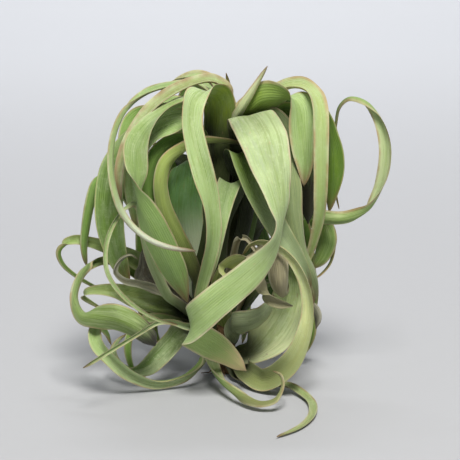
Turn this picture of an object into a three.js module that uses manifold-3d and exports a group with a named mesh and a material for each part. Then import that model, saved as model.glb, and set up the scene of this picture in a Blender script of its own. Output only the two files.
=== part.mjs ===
// A curly air plant: a short woody stem with a root stub, and a rosette of channelled strap leaves
// that rise out of it, arch over and curl under. Millimetres, +Z up, the front of the plant faces -Y.
// The origin is the middle of the flat underside of the root stub, which the plant rests on.
import * as THREE from "three";
import Module from "manifold-3d";
import { mergeVertices } from "three/addons/utils/BufferGeometryUtils.js";

const wasm = await Module();
wasm.setup();

// Driving dimensions
const MIDRIB_THICKNESS = 1.0;
const EDGE_THICKNESS = 0.62;
const LEAF_TIP_WIDTH = 1.1;
const CLEARANCE = 0.35; // between pieces
const LEAST_CROSSING = 0.001; // mm3
const LONGEST_STEP = 22; // along a leaf, between two sections
const SHARPEST_TURN = THREE.MathUtils.degToRad(30); // between two sections
const STEM_SIDES = 12;

// The front view that the leaves are drawn in: it looks down a little, from a set distance
const LOOK_DOWN = THREE.MathUtils.degToRad(12);
const EYE_DISTANCE = 740;
const VIEW_CENTRE = { right: 1.6, up: 57.6 };
const LOOK = new THREE.Vector3(0, Math.cos(LOOK_DOWN), -Math.sin(LOOK_DOWN));
const VIEW_UP = new THREE.Vector3(0, Math.sin(LOOK_DOWN), Math.cos(LOOK_DOWN));
const EYE = new THREE.Vector3(VIEW_CENTRE.right, 0, VIEW_CENTRE.up / VIEW_UP.z);
EYE.addScaledVector(LOOK, -EYE_DISTANCE);

// Tones of the leaf solids
const TONE = {
  pale: { color: 0xb9c8a2, roughness: 0.82 },
  green: { color: 0x8fa66b, roughness: 0.8 },
  deep: { color: 0x5f7f33, roughness: 0.75 },
  yellow: { color: 0xaaaf5a, roughness: 0.78 },
  tan: { color: 0xa8a080, roughness: 0.9 },
  grey: { color: 0x7d7568, roughness: 0.92 },
  dark: { color: 0x45413a, roughness: 0.95 },
  bark: { color: 0x6d5238, roughness: 0.95 },
};

// A station is [x, y, z, width, across x, across y, across z], in place.
// A drawn one is [right, up, back, width, across x, y, z]: where it is seen in the front view, and its depth.
function place([right, up, back, width, ...across]) {
  const ray = LOOK.clone().multiplyScalar(EYE_DISTANCE);
  ray.addScaledVector(VIEW_UP, up - VIEW_CENTRE.up);
  ray.x += right - VIEW_CENTRE.right;
  const reach = (back - EYE.y) / ray.y;
  const at = EYE.clone().addScaledVector(ray, reach);
  return [...at.toArray(), width, ...across];
}

// The middle of the bundle of rising leaves at a height
function bundleAxis(z) {
  return -5 + (9 * Math.max(0, z - 30)) / 70;
}

// The hidden start of a leaf that rises in the bundle before it arches over
function rising(heading, radius, top = 84, width = 9) {
  const turn = THREE.MathUtils.degToRad(heading);
  const out = [Math.cos(turn), Math.sin(turn)];
  const rows = [
    [14, 0.35, 5],
    [32, 0.8, width * 0.8],
    [top * 0.68, 1, width],
    [top, 1.15, width],
  ];
  return rows.map(([z, share, w]) => [
    bundleAxis(z) + out[0] * radius * share, out[1] * radius * share, z, w, out[1], -out[0], 0,
  ]);
}

// The start of a leaf that leaves the side of the stem at a height
function fromStem(heading, height, radius = 6, width = 6, climb = 1) {
  const turn = THREE.MathUtils.degToRad(heading);
  const out = [Math.cos(turn), Math.sin(turn)];
  const middle = -5 * Math.min(1, height / 30);
  return [
    [middle + out[0] * 1.5, out[1] * 1.5, height - 2, width * 0.7, out[1], -out[0], 0],
    [middle + out[0] * radius, out[1] * radius, height + climb, width, out[1], -out[0], 0],
  ];
}

// A plain leaf of the back of the rosette, which rises, arches over and curls under.
// Shares of its reach and rise, and of its width, along it
const ARCH = [
  [0.14, 0.45, 0.9], [0.26, 0.76, 1], [0.45, 0.97, 1], [0.66, 0.98, 1], [0.86, 0.8, 0.9],
  [0.98, 0.55, 0.75], [1, 0.3, 0.55], [0.92, 0.1, 0.35], [0.78, 0, 0.12],
];
function arching(heading, foot, reach, rise, swing, width, end, twist) {
  const start = fromStem(heading, foot, 6, width * 0.7, 2);
  const middle = -5 * Math.min(1, foot / 30);
  const rows = ARCH.map(([out, up, share], i) => {
    const turn = THREE.MathUtils.degToRad(heading + (swing * i) / (ARCH.length - 1));
    const z = end + (rise - end) * up + (i === 0 ? foot * 0.4 : 0);
    const away = reach * out + 2;
    const lean = THREE.MathUtils.degToRad((twist * i) / (ARCH.length - 1));
    const flat = Math.cos(lean);
    const across = [flat * Math.sin(turn), -flat * Math.cos(turn), Math.sin(lean)];
    return [middle + away * Math.cos(turn), away * Math.sin(turn), z, width * share, ...across];
  });
  return [...start, ...rows];
}

// Every leaf: its name, tone, how deep its channel is as a share of its width, its hidden start,
// and its drawn stations from there to the tip
const LEAVES = [
  { name: "leaf_front_sweep", tone: "pale", channel: -0.05, start: rising(-60, 7.5, 86), drawn: [
    [9, 103, -14, 17.5, 1, 0, 0.2], [14.2, 96.2, -25, 19, 1, 0, 0.12],
    [17.2, 86.8, -33, 16.5, 1, 0.1, 0.05], [19.6, 77.2, -37, 14, 1, 0.45, 0],
    [21.2, 68.8, -39, 12, 0.8, 0.75, 0], [21.6, 60.8, -40, 11, 0.35, 0.95, 0],
    [20.2, 53.6, -42, 11, 0.3, 0.95, -0.2], [16, 46.4, -44, 11.5, 0.6, 0.65, -0.5],
    [8.4, 38.8, -47, 12, 0.6, 0.2, -0.85], [-1.6, 30.8, -49, 12.5, 0.55, 0, -0.85],
    [-9.2, 24.4, -48, 13, 0.35, 0, -0.95], [-13.6, 20, -43, 13, 0.05, 0.1, -1],
    [-13.2, 16.4, -37, 12.5, -0.3, 0.2, -1], [-4, 10.6, -33, 11.5, -0.62, 0, -0.78],
    [1.2, 7, -31.5, 8.5, -0.7, 0, -0.7], [5.2, 3.6, -31, 5, -0.7, 0, -0.7], [8.2, 1.2, -31, 1.2],
  ] },
  { name: "leaf_front_strap", tone: "pale", channel: 0.16, start: rising(-128, 7.5, 84, 12), drawn: [
    [-2.6, 107, -10, 12.6, 1, 0.1, 0], [-4.8, 113.4, -17, 11.6, 1, 0.2, 0],
    [-9.4, 114, -27, 9.6, 1, 0.25, 0.1], [-12.8, 108.8, -35, 8.5, 1, 0.3, 0],
    [-13.6, 100.8, -39, 8, 1, 0.2, 0], [-12, 91.2, -42, 8.4, 1, 0.1, -0.1],
    [-8.8, 79.2, -44, 8.4, 1, 0.05, -0.2], [-6, 67.6, -44, 7, 1, 0.5, -0.1],
    [-5.2, 55.6, -42, 6.5, 1, 0.6, 0], [-7.2, 44.8, -38, 6, 1, 0.3, 0.2],
    [-9.6, 36, -34, 5, 1, 0.2, 0.2], [-11.2, 29.2, -31, 3, 1, 0, 0], [-11.6, 24.4, -28, 1],
  ] },
  { name: "leaf_left_sash", tone: "pale", channel: 0.14, start: rising(-150, 9, 86, 8), drawn: [
    [-6, 105, -6, 10, -0.4, 0.9, 0], [-12, 110, -9, 9.5, -0.3, 0.95, 0],
    [-21.2, 107.6, -17, 10, -0.5, 0.85, -0.1], [-30.2, 101.4, -26, 9.6, -0.8, 0.5, -0.3],
    [-35.8, 91.6, -32, 9.6, -1, 0.1, -0.1], [-35.9, 82.4, -35, 8.8, -0.9, -0.4, 0],
    [-35.2, 74.4, -38, 8.6, -0.1, -1, 0], [-33.2, 67.6, -40, 9.6, 0.65, -0.6, 0.3],
    [-29, 58.4, -41, 11, 0.85, -0.1, 0.5], [-24.4, 48.8, -39, 11, 0.85, 0, 0.5],
    [-19.6, 38.8, -35, 9, 0.9, 0, 0.4], [-15.2, 28.4, -30, 1.2],
  ] },
  { name: "leaf_left_inner", tone: "green", channel: 0.18, start: rising(-135, 12.5, 72, 7), drawn: [
    [-10, 98, -12, 7.4, -0.4, 0.8, 0.4], [-15.6, 102, -15, 9, -0.3, 0.8, 0.6],
    [-22.4, 100.4, -18, 11, -0.3, 0.6, 0.7], [-29.6, 96, -21, 9.5, -0.5, 0.6, 0.5],
    [-34.6, 89.2, -23, 7.4, -0.9, 0.4, 0.1], [-36.8, 80.4, -21.5, 7, -0.9, 0.3, 0],
    [-37.2, 72, -19.5, 6, -0.9, 0.3, 0], [-36.6, 64.4, -17, 4, -0.9, 0.3, 0], [-36, 58, -15.5, 1],
  ] },
  { name: "leaf_rim_left", tone: "green", channel: 0.2, start: rising(178, 4.5, 88, 6), drawn: [
    [0.8, 107, -1, 6, 0.2, 1, 0.2], [1.2, 113.6, -2, 5.8, 0.1, 1, 0.4],
    [-4.8, 117.8, -3, 5.8, -0.1, 1, 0.5], [-12, 117.2, -5, 5.6, -0.2, 1, 0.5],
    [-20, 113.8, -9, 5.4, -0.3, 0.9, 0.6], [-27.6, 108.8, -14, 5.2, -0.4, 0.8, 0.5],
    [-34, 102, -19, 5.4, -0.5, 0.8, 0.4], [-38.4, 94.4, -22, 5, -0.8, 0.6, 0.1],
    [-41.6, 85.6, -24, 4.4, -0.9, 0.5, 0], [-42.8, 76.8, -24, 3.2, -1, 0.3, 0], [-42, 69.6, -22, 1],
  ] },
  { name: "leaf_thin_bow", tone: "green", channel: 0.2, start: rising(158, 9, 88, 5), drawn: [
    [-6, 110, 6.5, 4.6, 0, 1, 0], [-12, 116, 7, 4.4, 0, 1, 0.2], [-22.4, 115.6, 3, 4, 0.1, 1, 0.3],
    [-32.4, 112.4, -6, 3.6, 0.2, 0.9, 0.3], [-40.4, 105.6, -15, 3.2, 0.4, 0.8, 0.3],
    [-44.8, 95.6, -22, 3, 0.6, 0.7, 0], [-46, 84.8, -29, 2.8, 0.7, 0.6, 0],
    [-44.8, 74.4, -37, 2.8, 0.7, 0.5, 0], [-41.6, 64.8, -44, 2.6, 0.6, 0.3, 0.5],
    [-36.4, 58, -49, 2.4, 0.4, 0.2, 0.8], [-29.6, 53.2, -52, 2.2, 0.2, 0.2, 0.9],
    [-21.6, 50.4, -53, 2, 0.1, 0.2, 1], [-12, 49.2, -52, 1],
  ] },
  { name: "leaf_inner_arch", tone: "yellow", channel: 0.2, start: fromStem(-155, 26, 5, 7), drawn: [
    [-12, 37.6, -9, 7, 0.5, -0.6, 0.3], [-16, 47.2, -15, 7.6, 0.8, -0.4, 0.4],
    [-21.6, 58.4, -20, 7, 0.85, -0.2, 0.45], [-25.2, 68.4, -23, 6.2, 1, 0.1, 0.2],
    [-26, 77.6, -24, 5.8, 1, 0.2, -0.1], [-24, 84.4, -23, 5.8, 0.8, 0.2, -0.55],
    [-17.6, 90, -21, 5.8, 0.3, 0.6, -0.75], [-8.4, 93.6, -18, 6, 0, 1, -0.3],
    [1.6, 93.2, -15, 4.6, 0, 1, -0.2], [9, 91.6, -12, 1.2, 0, 1, -0.2],
  ] },
  { name: "leaf_inner_left", tone: "deep", channel: 0.2, start: fromStem(-172, 32, 5, 6), drawn: [
    [-15, 46, -11, 6.5, 0.5, -0.6, 0.3], [-23.6, 56.4, -15.5, 7, 0.85, -0.2, 0.45],
    [-29.6, 67.2, -18.5, 7, 1, 0.1, 0.2], [-31.2, 77.6, -19.5, 6.8, 1, 0.2, -0.1],
    [-28.4, 86.8, -18.5, 6.4, 0.8, 0.2, -0.55], [-21.2, 93.2, -16.5, 6, 0.3, 0.6, -0.75],
    [-12.4, 95.2, -14, 4.5, 0, 1, -0.3], [-6, 94.4, -12, 1, 0, 1, -0.2],
  ] },
  { name: "leaf_inner_spoon", tone: "deep", channel: 0.12, start: fromStem(-126, 24, 5, 7), drawn: [
    [-11.6, 36.4, -6, 10, 1, 0.1, 0], [-13.6, 45.6, -9, 12, 1, 0.1, 0],
    [-15.6, 55.6, -12, 14, 1, 0.1, 0], [-16.8, 66.4, -14, 15, 1, 0.15, 0],
    [-16, 76, -14, 15, 1, 0.15, 0], [-15.2, 82, -11, 12, 1, 0.1, 0], [-14.8, 84.6, -7, 6, 1, 0, 0],
    [-14.6, 84.8, -4.5, 1.5],
  ] },
  { name: "leaf_inner_blunt", tone: "green", channel: 0.14, start: rising(-96, 11, 66, 8), drawn: [
    [4, 74.4, -15, 8.5, 1, 0.15, 0], [2, 77.2, -20, 9, 1, 0.15, 0.05], [-0.6, 70.4, -25, 8, 1, 0.1, 0.1],
    [-3, 59.2, -28, 6.4, 1, 0.15, 0.2], [-5, 47.6, -28, 5, 1, 0.2, 0.2], [-6.4, 36.8, -26, 1],
  ] },
  { name: "leaf_shadow_strap", tone: "deep", channel: 0.16, start: rising(-45, 10.5, 76, 9), drawn: [
    [3.6, 87.6, -13, 9, 1, 0.2, 0], [5.6, 89, -18.5, 9, 1, 0.2, 0.1],
    [8.4, 83.2, -23, 9.5, 0.9, 0.1, 0.3], [12.4, 73.6, -26, 9.5, 0.9, 0.1, 0.4],
    [17.2, 64.4, -29, 9, 0.85, 0.1, 0.45], [22, 56.4, -30, 8, 0.8, 0.1, 0.5],
    [27.2, 48.4, -29, 6.5, 0.8, 0.2, 0.5], [31.6, 40.8, -26, 4, 0.85, 0.2, 0.4], [34, 34.4, -22, 1],
  ] },
  { name: "leaf_right_apron", tone: "green", channel: 0.16, start: rising(-32, 9, 84, 8), drawn: [
    [13.6, 103.6, -3, 6.5, 0.1, -1, 0], [20.4, 104, -8, 8, 0.1, -1, 0.3],
    [25, 93, -14, 9, 0.85, -0.5, 0.1], [24.6, 83.6, -18.5, 9, 1, 0.1, 0.1],
    [25.6, 73.6, -22.5, 9.8, 1, 0.1, 0.1], [26.2, 64, -24, 9, 1, 0.15, 0.1],
    [29.4, 49.6, -22, 7, 0.9, 0.4, 0.3], [34, 41.2, -20, 5.5, 0.7, 0.7, 0.2],
    [36, 34, -15, 4, 0.6, 0.8, 0], [35.2, 28, -11, 1],
  ] },
  { name: "leaf_right_inner", tone: "deep", channel: 0.2, start: rising(-20, 11.5, 82, 7), drawn: [
    [19.6, 102, -4, 8.5, 0.3, -0.85, 0.35], [25, 104.4, -8, 10, 0.5, -0.75, 0.3],
    [28.4, 97.2, -10, 9, 0.9, -0.3, 0], [31.2, 86.4, -10, 9.4, 1, -0.1, 0],
    [32.8, 75.6, -7, 8.4, 1, 0.1, 0], [33, 66.4, -4, 6, 1, 0.1, 0], [32.8, 60, -2, 1],
  ] },
  { name: "leaf_crown_right", tone: "pale", channel: 0.22, start: rising(-10, 6, 86, 9), drawn: [
    [7, 103.6, -4, 9, 0.4, -0.5, 0.7], [11, 107.4, -7, 11, 0.2, -0.4, 0.9],
    [15, 110.4, -9.5, 12.6, 0, -0.3, 0.95], [20, 112, -12, 12.6, -0.15, -0.5, 0.75],
    [24.4, 112.6, -14, 12, -0.4, -0.75, 0.4], [28.2, 111.2, -16, 11, -0.7, -0.7, 0.15],
    [30.2, 106.8, -18, 10.6, -0.9, -0.35, 0.05], [30.4, 98.8, -20, 10.2, -1, 0, 0],
    [31, 90, -21, 9.2, -1, 0.1, 0], [31.6, 82.4, -20.5, 6, -0.95, 0.2, 0], [31.2, 75, -19, 1],
  ] },
  { name: "leaf_right_strap", tone: "pale", channel: 0.2, start: rising(14, 8, 84, 7), drawn: [
    [16, 110.4, 3, 8, 0, -1, -0.1], [22.8, 115, 0, 8, 0, -1, -0.3],
    [29.2, 116, -5, 7.5, -0.1, -1, -0.35], [34.6, 113.2, -14, 7, -0.6, -0.85, -0.15],
    [37.2, 107.6, -22, 6.4, -0.9, -0.4, 0], [38, 97.6, -27, 6, -1, -0.1, 0],
    [38, 85.6, -29, 5.8, -1, 0, 0], [38, 73.6, -29, 5.4, -1, 0.2, 0],
    [37.6, 63.6, -27, 4.8, -0.9, 0.5, 0], [35.6, 54.4, -23, 4, -0.8, 0.6, 0.1],
    [33.2, 46.4, -19, 2.6, -0.9, 0.4, 0], [32, 40.8, -16, 1],
  ] },
  { name: "leaf_right_shadow", tone: "deep", channel: 0.16, start: rising(44, 11.5, 84, 8), drawn: [
    [19.6, 106.4, 12, 8, 0.3, -0.9, 0], [31.6, 110.8, 9, 7, 0.2, -1, 0.2],
    [38.4, 107.6, 6, 6, 0.1, -1, 0], [41.6, 102.4, 4, 6, 0.1, -1, 0], [42.8, 94.8, 2, 7.5, 0.4, -0.9, 0],
    [43.2, 87.2, 0, 8, 0.8, -0.5, 0], [42.8, 79.2, -1, 8, 0.9, -0.3, 0],
    [42, 70.8, -1, 4.5, 0.9, -0.3, 0], [41.2, 64.4, 0, 1],
  ] },
  { name: "leaf_right_loop", tone: "pale", channel: 0.25, start: fromStem(15, 22, 6, 7), drawn: [
    [11.6, 42.4, 10, 7, 0, -1, 0.3], [23.6, 56.8, 12, 6.5, 0, -0.8, 0.6],
    [31.6, 64.4, 6, 6.6, 0.1, -0.4, 0.9], [39.6, 62.4, 0, 6.2, 0, -0.2, 1],
    [48.4, 62.4, -4, 5.6, 0.1, -0.4, 1], [55.6, 66, -6, 5, 0.3, -0.6, 0.7],
    [60.8, 73.6, -7, 4.6, 0.6, -0.7, 0.4], [63.6, 83.6, -8, 5.2, 0.9, -0.4, 0],
    [63.6, 93.6, -8, 5, 0.9, -0.4, -0.1], [60.4, 102.8, -8, 4, 0.8, -0.5, -0.2],
    [55.2, 108.4, -8, 3.4, 0.3, -0.9, -0.2], [49.6, 110, -5, 2.6, 0, -1, 0],
    [45.6, 106.8, -1, 2.2, -0.1, -1, 0], [44, 99.6, 3, 1.8, 0, -1, 0],
    [43.2, 89.6, 7, 1.6, 0.3, -0.9, 0], [43.2, 79.6, 9, 1.4], [44, 71.6, 9, 1.2], [45.2, 66, 8, 1],
  ] },
  { name: "leaf_right_low", tone: "green", channel: 0.2, start: fromStem(35, 20, 6, 7), drawn: [
    [14.4, 47.6, 22, 8, 0.3, -0.8, 0.3], [27.6, 60.8, 22, 8.5, 0.4, -0.6, 0.6],
    [36.8, 60.8, 15, 8.5, 0.6, -0.5, 0.5], [40, 54.4, 10, 8.5, 0.9, -0.3, 0.2],
    [38, 47.2, 8, 7, 0.8, -0.2, 0.5], [34, 41.6, 8, 1],
  ] },
  { name: "leaf_right_wire", tone: "yellow", channel: 0.2, start: fromStem(48, 18, 6, 5), drawn: [
    [21.6, 51.6, 28, 4, 0.5, -0.8, 0.2], [35.6, 60.4, 24, 3.4, 0.4, -0.8, 0.5],
    [42.4, 57.6, 18, 2.8, 0.3, -0.9, 0.2], [43.2, 50.8, 14, 2.2, 0.2, -1, 0],
    [41.6, 44.4, 11, 1.8, 0.2, -1, 0], [38, 40, 9, 1.4], [34.4, 37.6, 7, 1],
  ] },
  { name: "leaf_cup", tone: "pale", channel: 0.3, start: fromStem(-50, 10, 6, 7, 0), drawn: [
    [7.2, 8.4, -8, 10, -0.2, -0.8, -0.5], [13.6, 11.6, -16, 14, 0.3, -0.45, -0.85],
    [20, 17.6, -20, 17, 0.85, -0.3, -0.4], [24.8, 26.8, -21, 15, 0.95, -0.3, -0.1],
    [26.4, 36.4, -18, 12, 1, -0.2, 0.1], [24.8, 44.8, -14, 8, 1, -0.1, 0.2], [21.6, 50.4, -10, 1.2],
  ] },
  { name: "leaf_rim_right", tone: "green", channel: 0.25, start: fromStem(-35, 7, 7, 7, -1), drawn: [
    [8.8, 0.8, -20, 8.5, 0.1, -0.9, -0.5], [16, -2.4, -30, 9, 0.4, -0.7, -0.7],
    [25.2, 3.6, -36, 8.5, 0.8, -0.5, -0.4], [30.8, 13.6, -37, 7, 0.9, -0.5, -0.2],
    [33.2, 25.6, -36, 5.6, 0.85, -0.6, 0], [31.6, 36, -36, 4.8, 0.8, -0.6, 0.2],
    [27.2, 44.8, -36, 4.2, 0.7, -0.6, 0.4], [21.2, 50.4, -35, 3.6, 0.4, -0.6, 0.7],
    [14.8, 52.8, -33, 3, 0.1, -0.6, 0.8], [9.6, 51.6, -30, 2, -0.3, -0.7, 0.5], [6.4, 47.2, -26, 1],
  ] },
  { name: "leaf_trailing", tone: "green", channel: 0.15, start: fromStem(-62, 5, 6, 5, -1.5), drawn: [
    [4.4, -1, -13, 5, 0.8, 0.55, 0.1], [10, -2.6, -19, 4.6, 0.7, 0.7, 0.2],
    [17.6, -3.8, -23.5, 4.4, 0.5, 0.85, 0.2], [25.2, -4.6, -28, 4, 0.65, 0.75, 0.1],
  ], laid: [
    [29.5, -35, 1.5, 3.8, 0.93, 0.35, 0.1], [32.5, -44, 1.2, 3.6, 1, 0.2, 0],
    [33, -55, 0.95, 3.3, 1, -0.05, 0], [31, -66, 0.9, 3, 0.96, -0.28, 0],
    [26, -77, 0.85, 2.4, 0.86, -0.5, 0], [18.5, -86, 0.8, 1.1, 0.78, -0.62, 0],
  ] },
  { name: "leaf_low_loop_right", tone: "green", channel: 0.2, start: fromStem(-84, 9.5, 6, 5, -1), drawn: [
    [-5.6, 5.6, -19, 5.2, 1, 0, 0], [-3.2, -0.4, -31, 4.6, 0.8, -0.1, -0.5],
    [1.6, -5.6, -40, 4.2, 0.5, -0.5, -0.7], [7.6, -9.8, -49, 3.8, 0.1, -0.8, -0.5],
    [14.4, -11.8, -54, 3.4, 0, -0.9, -0.35], [20, -10.2, -54, 3, -0.1, -0.9, -0.2],
    [22.8, -4.8, -51, 2.4, 0, -1, 0], [22, -0.8, -46, 1.8, 0, -1, 0], [18.8, 1.2, -40, 1],
  ] },
  { name: "leaf_low_loop_left", tone: "pale", channel: 0.25, start: fromStem(-122, 7.5, 6, 5, -0.5), drawn: [
    [-8.4, 8, -16, 4.4, 0.6, 0.7, 0], [-10.4, 3.6, -20, 4.4, 0, 0.9, -0.4],
    [-16.8, -1.6, -24, 4.2, -0.1, 0.6, -0.8], [-27.2, -4, -28, 4.6, -0.2, 0.5, -0.85],
    [-38, -0.4, -34, 5.2, -0.3, 0.4, -0.85], [-46, 6, -38, 5.8, -0.6, 0.3, -0.7],
    [-51.4, 12, -38, 5.6, -0.9, 0.1, -0.4], [-52.6, 16.6, -35, 5, -0.95, -0.3, 0],
    [-50.8, 19.4, -30, 3.6, -0.7, -0.7, 0.1], [-47.6, 16.4, -25, 2.4, -0.5, -0.8, 0],
    [-45.8, 11.6, -23, 1],
  ] },
  { name: "leaf_low_strap", tone: "green", channel: 0.25, start: fromStem(-140, 10.5, 6, 7), drawn: [
    [-17.6, 17.6, -13, 8, -0.7, 0.3, 0.6], [-21.6, 13.2, -18, 8.5, -0.7, 0, 0.7],
    [-26.4, 8, -22, 8.5, -0.7, -0.1, 0.7], [-31.6, 3.2, -24, 8, -0.6, -0.3, 0.7],
    [-37.2, 1.2, -24, 6, -0.1, -0.6, 0.8], [-42.4, 4, -20, 4.4, 0.4, -0.7, 0.5],
    [-44.8, 9.2, -15, 3.2, 0.7, -0.7, 0], [-42.8, 13.6, -11, 2, 0.7, -0.7, 0], [-39.6, 16, -8, 1],
  ] },
  { name: "leaf_low_wisp", tone: "green", channel: 0.2, start: fromStem(-166, 15.2, 6, 4), drawn: [
    [-26.4, 22.4, -12, 3.8, 0.3, 0.6, 0.7], [-34.4, 20.8, -15, 3.6, 0.4, 0.5, 0.7],
    [-38.4, 15.2, -18, 3.3, 0.9, 0.3, 0], [-39.2, 9.2, -21, 3, 0.95, 0.2, 0],
    [-37.6, 2.8, -23, 2, 0.9, 0.2, 0], [-34.4, -0.8, -21, 1],
  ] },
  { name: "leaf_rolled", tone: "yellow", channel: 0.32, start: fromStem(176, 12.6, 6, 5), drawn: [
    [-20.4, 26.4, 8, 5.4, 0, 0.6, 0.8], [-34, 38, 10, 4.6, 0.1, 0.6, 0.8],
    [-46.4, 45, 2, 3.6, 0.2, 0.7, 0.6], [-54.4, 43.4, -10, 3.2, 0.4, 0.8, 0.2],
    [-59.2, 37, -22, 3.2, 0.7, 0.7, 0], [-60.6, 29.6, -30, 3.6, 0.7, 0.6, 0.3],
    [-57.6, 23, -35, 5.4, 0.5, 0.5, 0.7], [-51.2, 22.8, -38, 9, 0.3, 0.2, 0.95],
    [-44.4, 22.4, -39, 10.4, 0.35, 0, 0.95], [-36.8, 19.2, -38, 9.4, 0.5, 0, 0.85],
    [-31.2, 14.8, -36, 7.4, 0.6, 0, 0.8], [-28.4, 11.4, -34, 5, 0.7, 0, 0.7],
  ] },
  { name: "leaf_left_hook", tone: "green", channel: 0.2, start: fromStem(178, 17.6, 6, 7), drawn: [
    [-18.4, 26.4, -3, 9.5, 0, 0.5, 0.9], [-27.2, 29.2, -7, 10, 0.1, 0.2, 1],
    [-36.4, 30.8, -11, 9, 0.1, 0.2, 1], [-44.4, 33.2, -14, 6, 0.1, 0.3, 0.9],
    [-51.2, 33.6, -16, 4, 0.1, 0.4, 0.9], [-55.6, 32.8, -16, 3, 0.1, 0.5, 0.8],
    [-57.2, 31.2, -13, 2.4, 0.4, 0.6, 0.5], [-54, 28.8, -9, 2, 0.2, 0.7, 0.5], [-49.2, 26, -7, 1],
  ] },
  { name: "leaf_left_loop", tone: "green", channel: 0.25, start: fromStem(170, 22.6, 6, 7), drawn: [
    [-22.4, 35.6, 3, 8, 0, 0.6, 0.7], [-35.2, 44.8, 6, 7.5, 0.1, 0.4, 0.9],
    [-45.2, 49.6, 4, 5.8, 0.1, 0.3, 0.95], [-53.6, 52.4, 1, 4.5, 0.1, 0.4, 0.9],
    [-60.8, 53.6, -2, 3.8, 0.1, 0.4, 0.9], [-65.2, 51.6, -4, 3, 0.5, 0.7, 0.4],
    [-66.8, 48.4, -4, 2.4, 0.8, 0.6, 0], [-65.2, 44, -3, 2.1, 0.8, 0.6, 0.2],
    [-60.4, 39.6, -1, 1.8, 0.6, 0.6, 0.5], [-54.4, 36, 2, 1.5], [-49.2, 33.6, 4, 1],
  ] },
  { name: "leaf_left_drop", tone: "green", channel: 0.2, start: fromStem(158, 25.5, 6, 6), drawn: [
    [-24.4, 45.6, 12, 8, 0.3, 0.8, 0.3], [-37.6, 66.8, 16, 6.5, 0.4, 0.9, 0.2],
    [-44.8, 76.8, 12, 5.4, 0.6, 0.7, 0.2], [-48.8, 78.8, 6, 4.8, 0.8, 0.6, 0],
    [-52, 75.6, 1, 4.5, 0.9, 0.4, 0], [-54.4, 68, -2, 4.2, 0.95, 0.3, 0],
    [-56, 59.2, -4, 3.7, 0.95, 0.2, 0], [-56.8, 51.2, -5, 3, 0.95, 0.2, 0], [-56.4, 46.4, -5, 2.1],
    [-55.6, 42.8, -4, 1],
  ] },
  { name: "leaf_left_broad", tone: "deep", channel: 0.16, start: rising(-168, 11, 76, 9), drawn: [
    [-15.2, 102.4, -2, 10, -0.1, 1, 0.1], [-29.6, 100.8, -4, 11, -0.2, 1, 0.2],
    [-39.6, 92.4, -7, 11, -0.5, 0.8, 0.1], [-44.8, 82, -11, 11, -0.9, 0.3, 0],
    [-46.8, 70.4, -14, 11, -1, 0, 0], [-46.4, 59.2, -16, 11, -1, -0.2, 0],
    [-44.4, 49.6, -16, 9, -1, -0.2, -0.1], [-41.6, 41.6, -15, 6, -0.9, -0.3, -0.2],
    [-38.4, 35.6, -14, 1],
  ] },
  { name: "leaf_back_left", tone: "pale", channel: 0.16, start: rising(150, 11, 82, 8), drawn: [
    [-16.4, 108, 12, 9, 0.2, 1, 0.1], [-28.8, 107.6, 13, 9, 0.3, 0.9, 0.2],
    [-36.8, 100.8, 8, 9, 0.7, 0.7, 0.1], [-39.2, 92.4, 3, 8, 0.9, 0.4, 0],
    [-39.2, 82.4, 1, 5, 0.9, 0.4, 0], [-38.4, 73.6, 2, 1],
  ] },
  { name: "leaf_crown_left", tone: "green", channel: 0.2, start: rising(122, 5.5, 88, 6), drawn: [
    [-4, 115.4, 12, 6.5, 0.5, 0.8, 0], [-11, 119.4, 18, 6.8, 0.3, 0.9, 0.3],
    [-19.6, 117.6, 23, 6, 0.3, 0.9, 0.2], [-25.2, 112, 26, 5, 0.5, 0.8, 0],
    [-28.8, 104.8, 29, 4.6, 0.7, 0.7, 0], [-29.6, 95.6, 30, 2.6, 0.8, 0.6, 0], [-27.2, 88.8, 28, 1],
  ] },
  { name: "leaf_crown_back", tone: "green", channel: 0.2, start: rising(84, 8, 88, 7), drawn: [
    [-2.4, 111.6, 19, 7.5, 0.9, 0.3, 0], [-8, 116.4, 29, 7.5, 0.9, 0.4, 0.2],
    [-13.6, 114.8, 38, 7, 0.9, 0.4, 0], [-17.6, 106.4, 43, 6, 0.95, 0.2, 0],
    [-18.4, 93.6, 47, 4.5, 1, 0, 0], [-19.2, 79.6, 46, 3, 1, 0, 0], [-16.8, 69.6, 41, 1],
  ] },
  { name: "leaf_young_spike", tone: "yellow", channel: 0.3, start: rising(-80, 3, 88, 4.5), drawn: [
    [3, 100, -8, 4, 0.8, 0, -0.5], [5.8, 106, -11.5, 3.8, 0.8, 0, -0.5],
    [9.4, 111.6, -13, 3.2, 0.8, 0, -0.5], [13.1, 117.6, -13.5, 2, 0.8, 0, -0.5], [16.6, 123.2, -13, 1],
  ] },
  { name: "leaf_young_tip", tone: "yellow", channel: 0.3, start: rising(60, 2.6, 92, 4), drawn: [
    [2.6, 106.4, 6, 3.6, 0.8, 0.6, 0], [1.2, 112.8, 6.5, 2.6, 0.8, 0.6, 0], [0, 120.4, 5, 1],
  ] },
  { name: "leaf_thin_ring", tone: "green", channel: 0.2, start: fromStem(-148, 19, 6, 6), drawn: [
    [-18.4, 27.2, -9, 5, 0.7, -0.4, 0.4], [-23.2, 30.8, -16, 4.6, 0.8, -0.2, 0.4],
    [-26.8, 38, -22, 4.2, 0.85, 0, 0.4], [-30.4, 46.8, -26, 4, 0.85, 0, 0.45],
    [-32.8, 56.4, -27, 3.6, 0.9, 0, 0.3], [-34, 64.8, -27, 3, 0.8, 0.5, 0.2],
    [-36.8, 68, -29, 2.6, 0.3, 0.9, 0.3], [-41.6, 64.8, -35, 2.1, 0.4, 0.8, 0.3],
    [-46.4, 57.2, -42, 1.9, 0.7, 0.7, 0], [-48.4, 48.8, -47, 1.9, 0.8, 0.6, 0],
    [-47.6, 40.8, -50, 1.9, 0.7, 0.5, 0.3], [-42.8, 32.8, -52, 1.8, 0.5, 0.4, 0.7],
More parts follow.
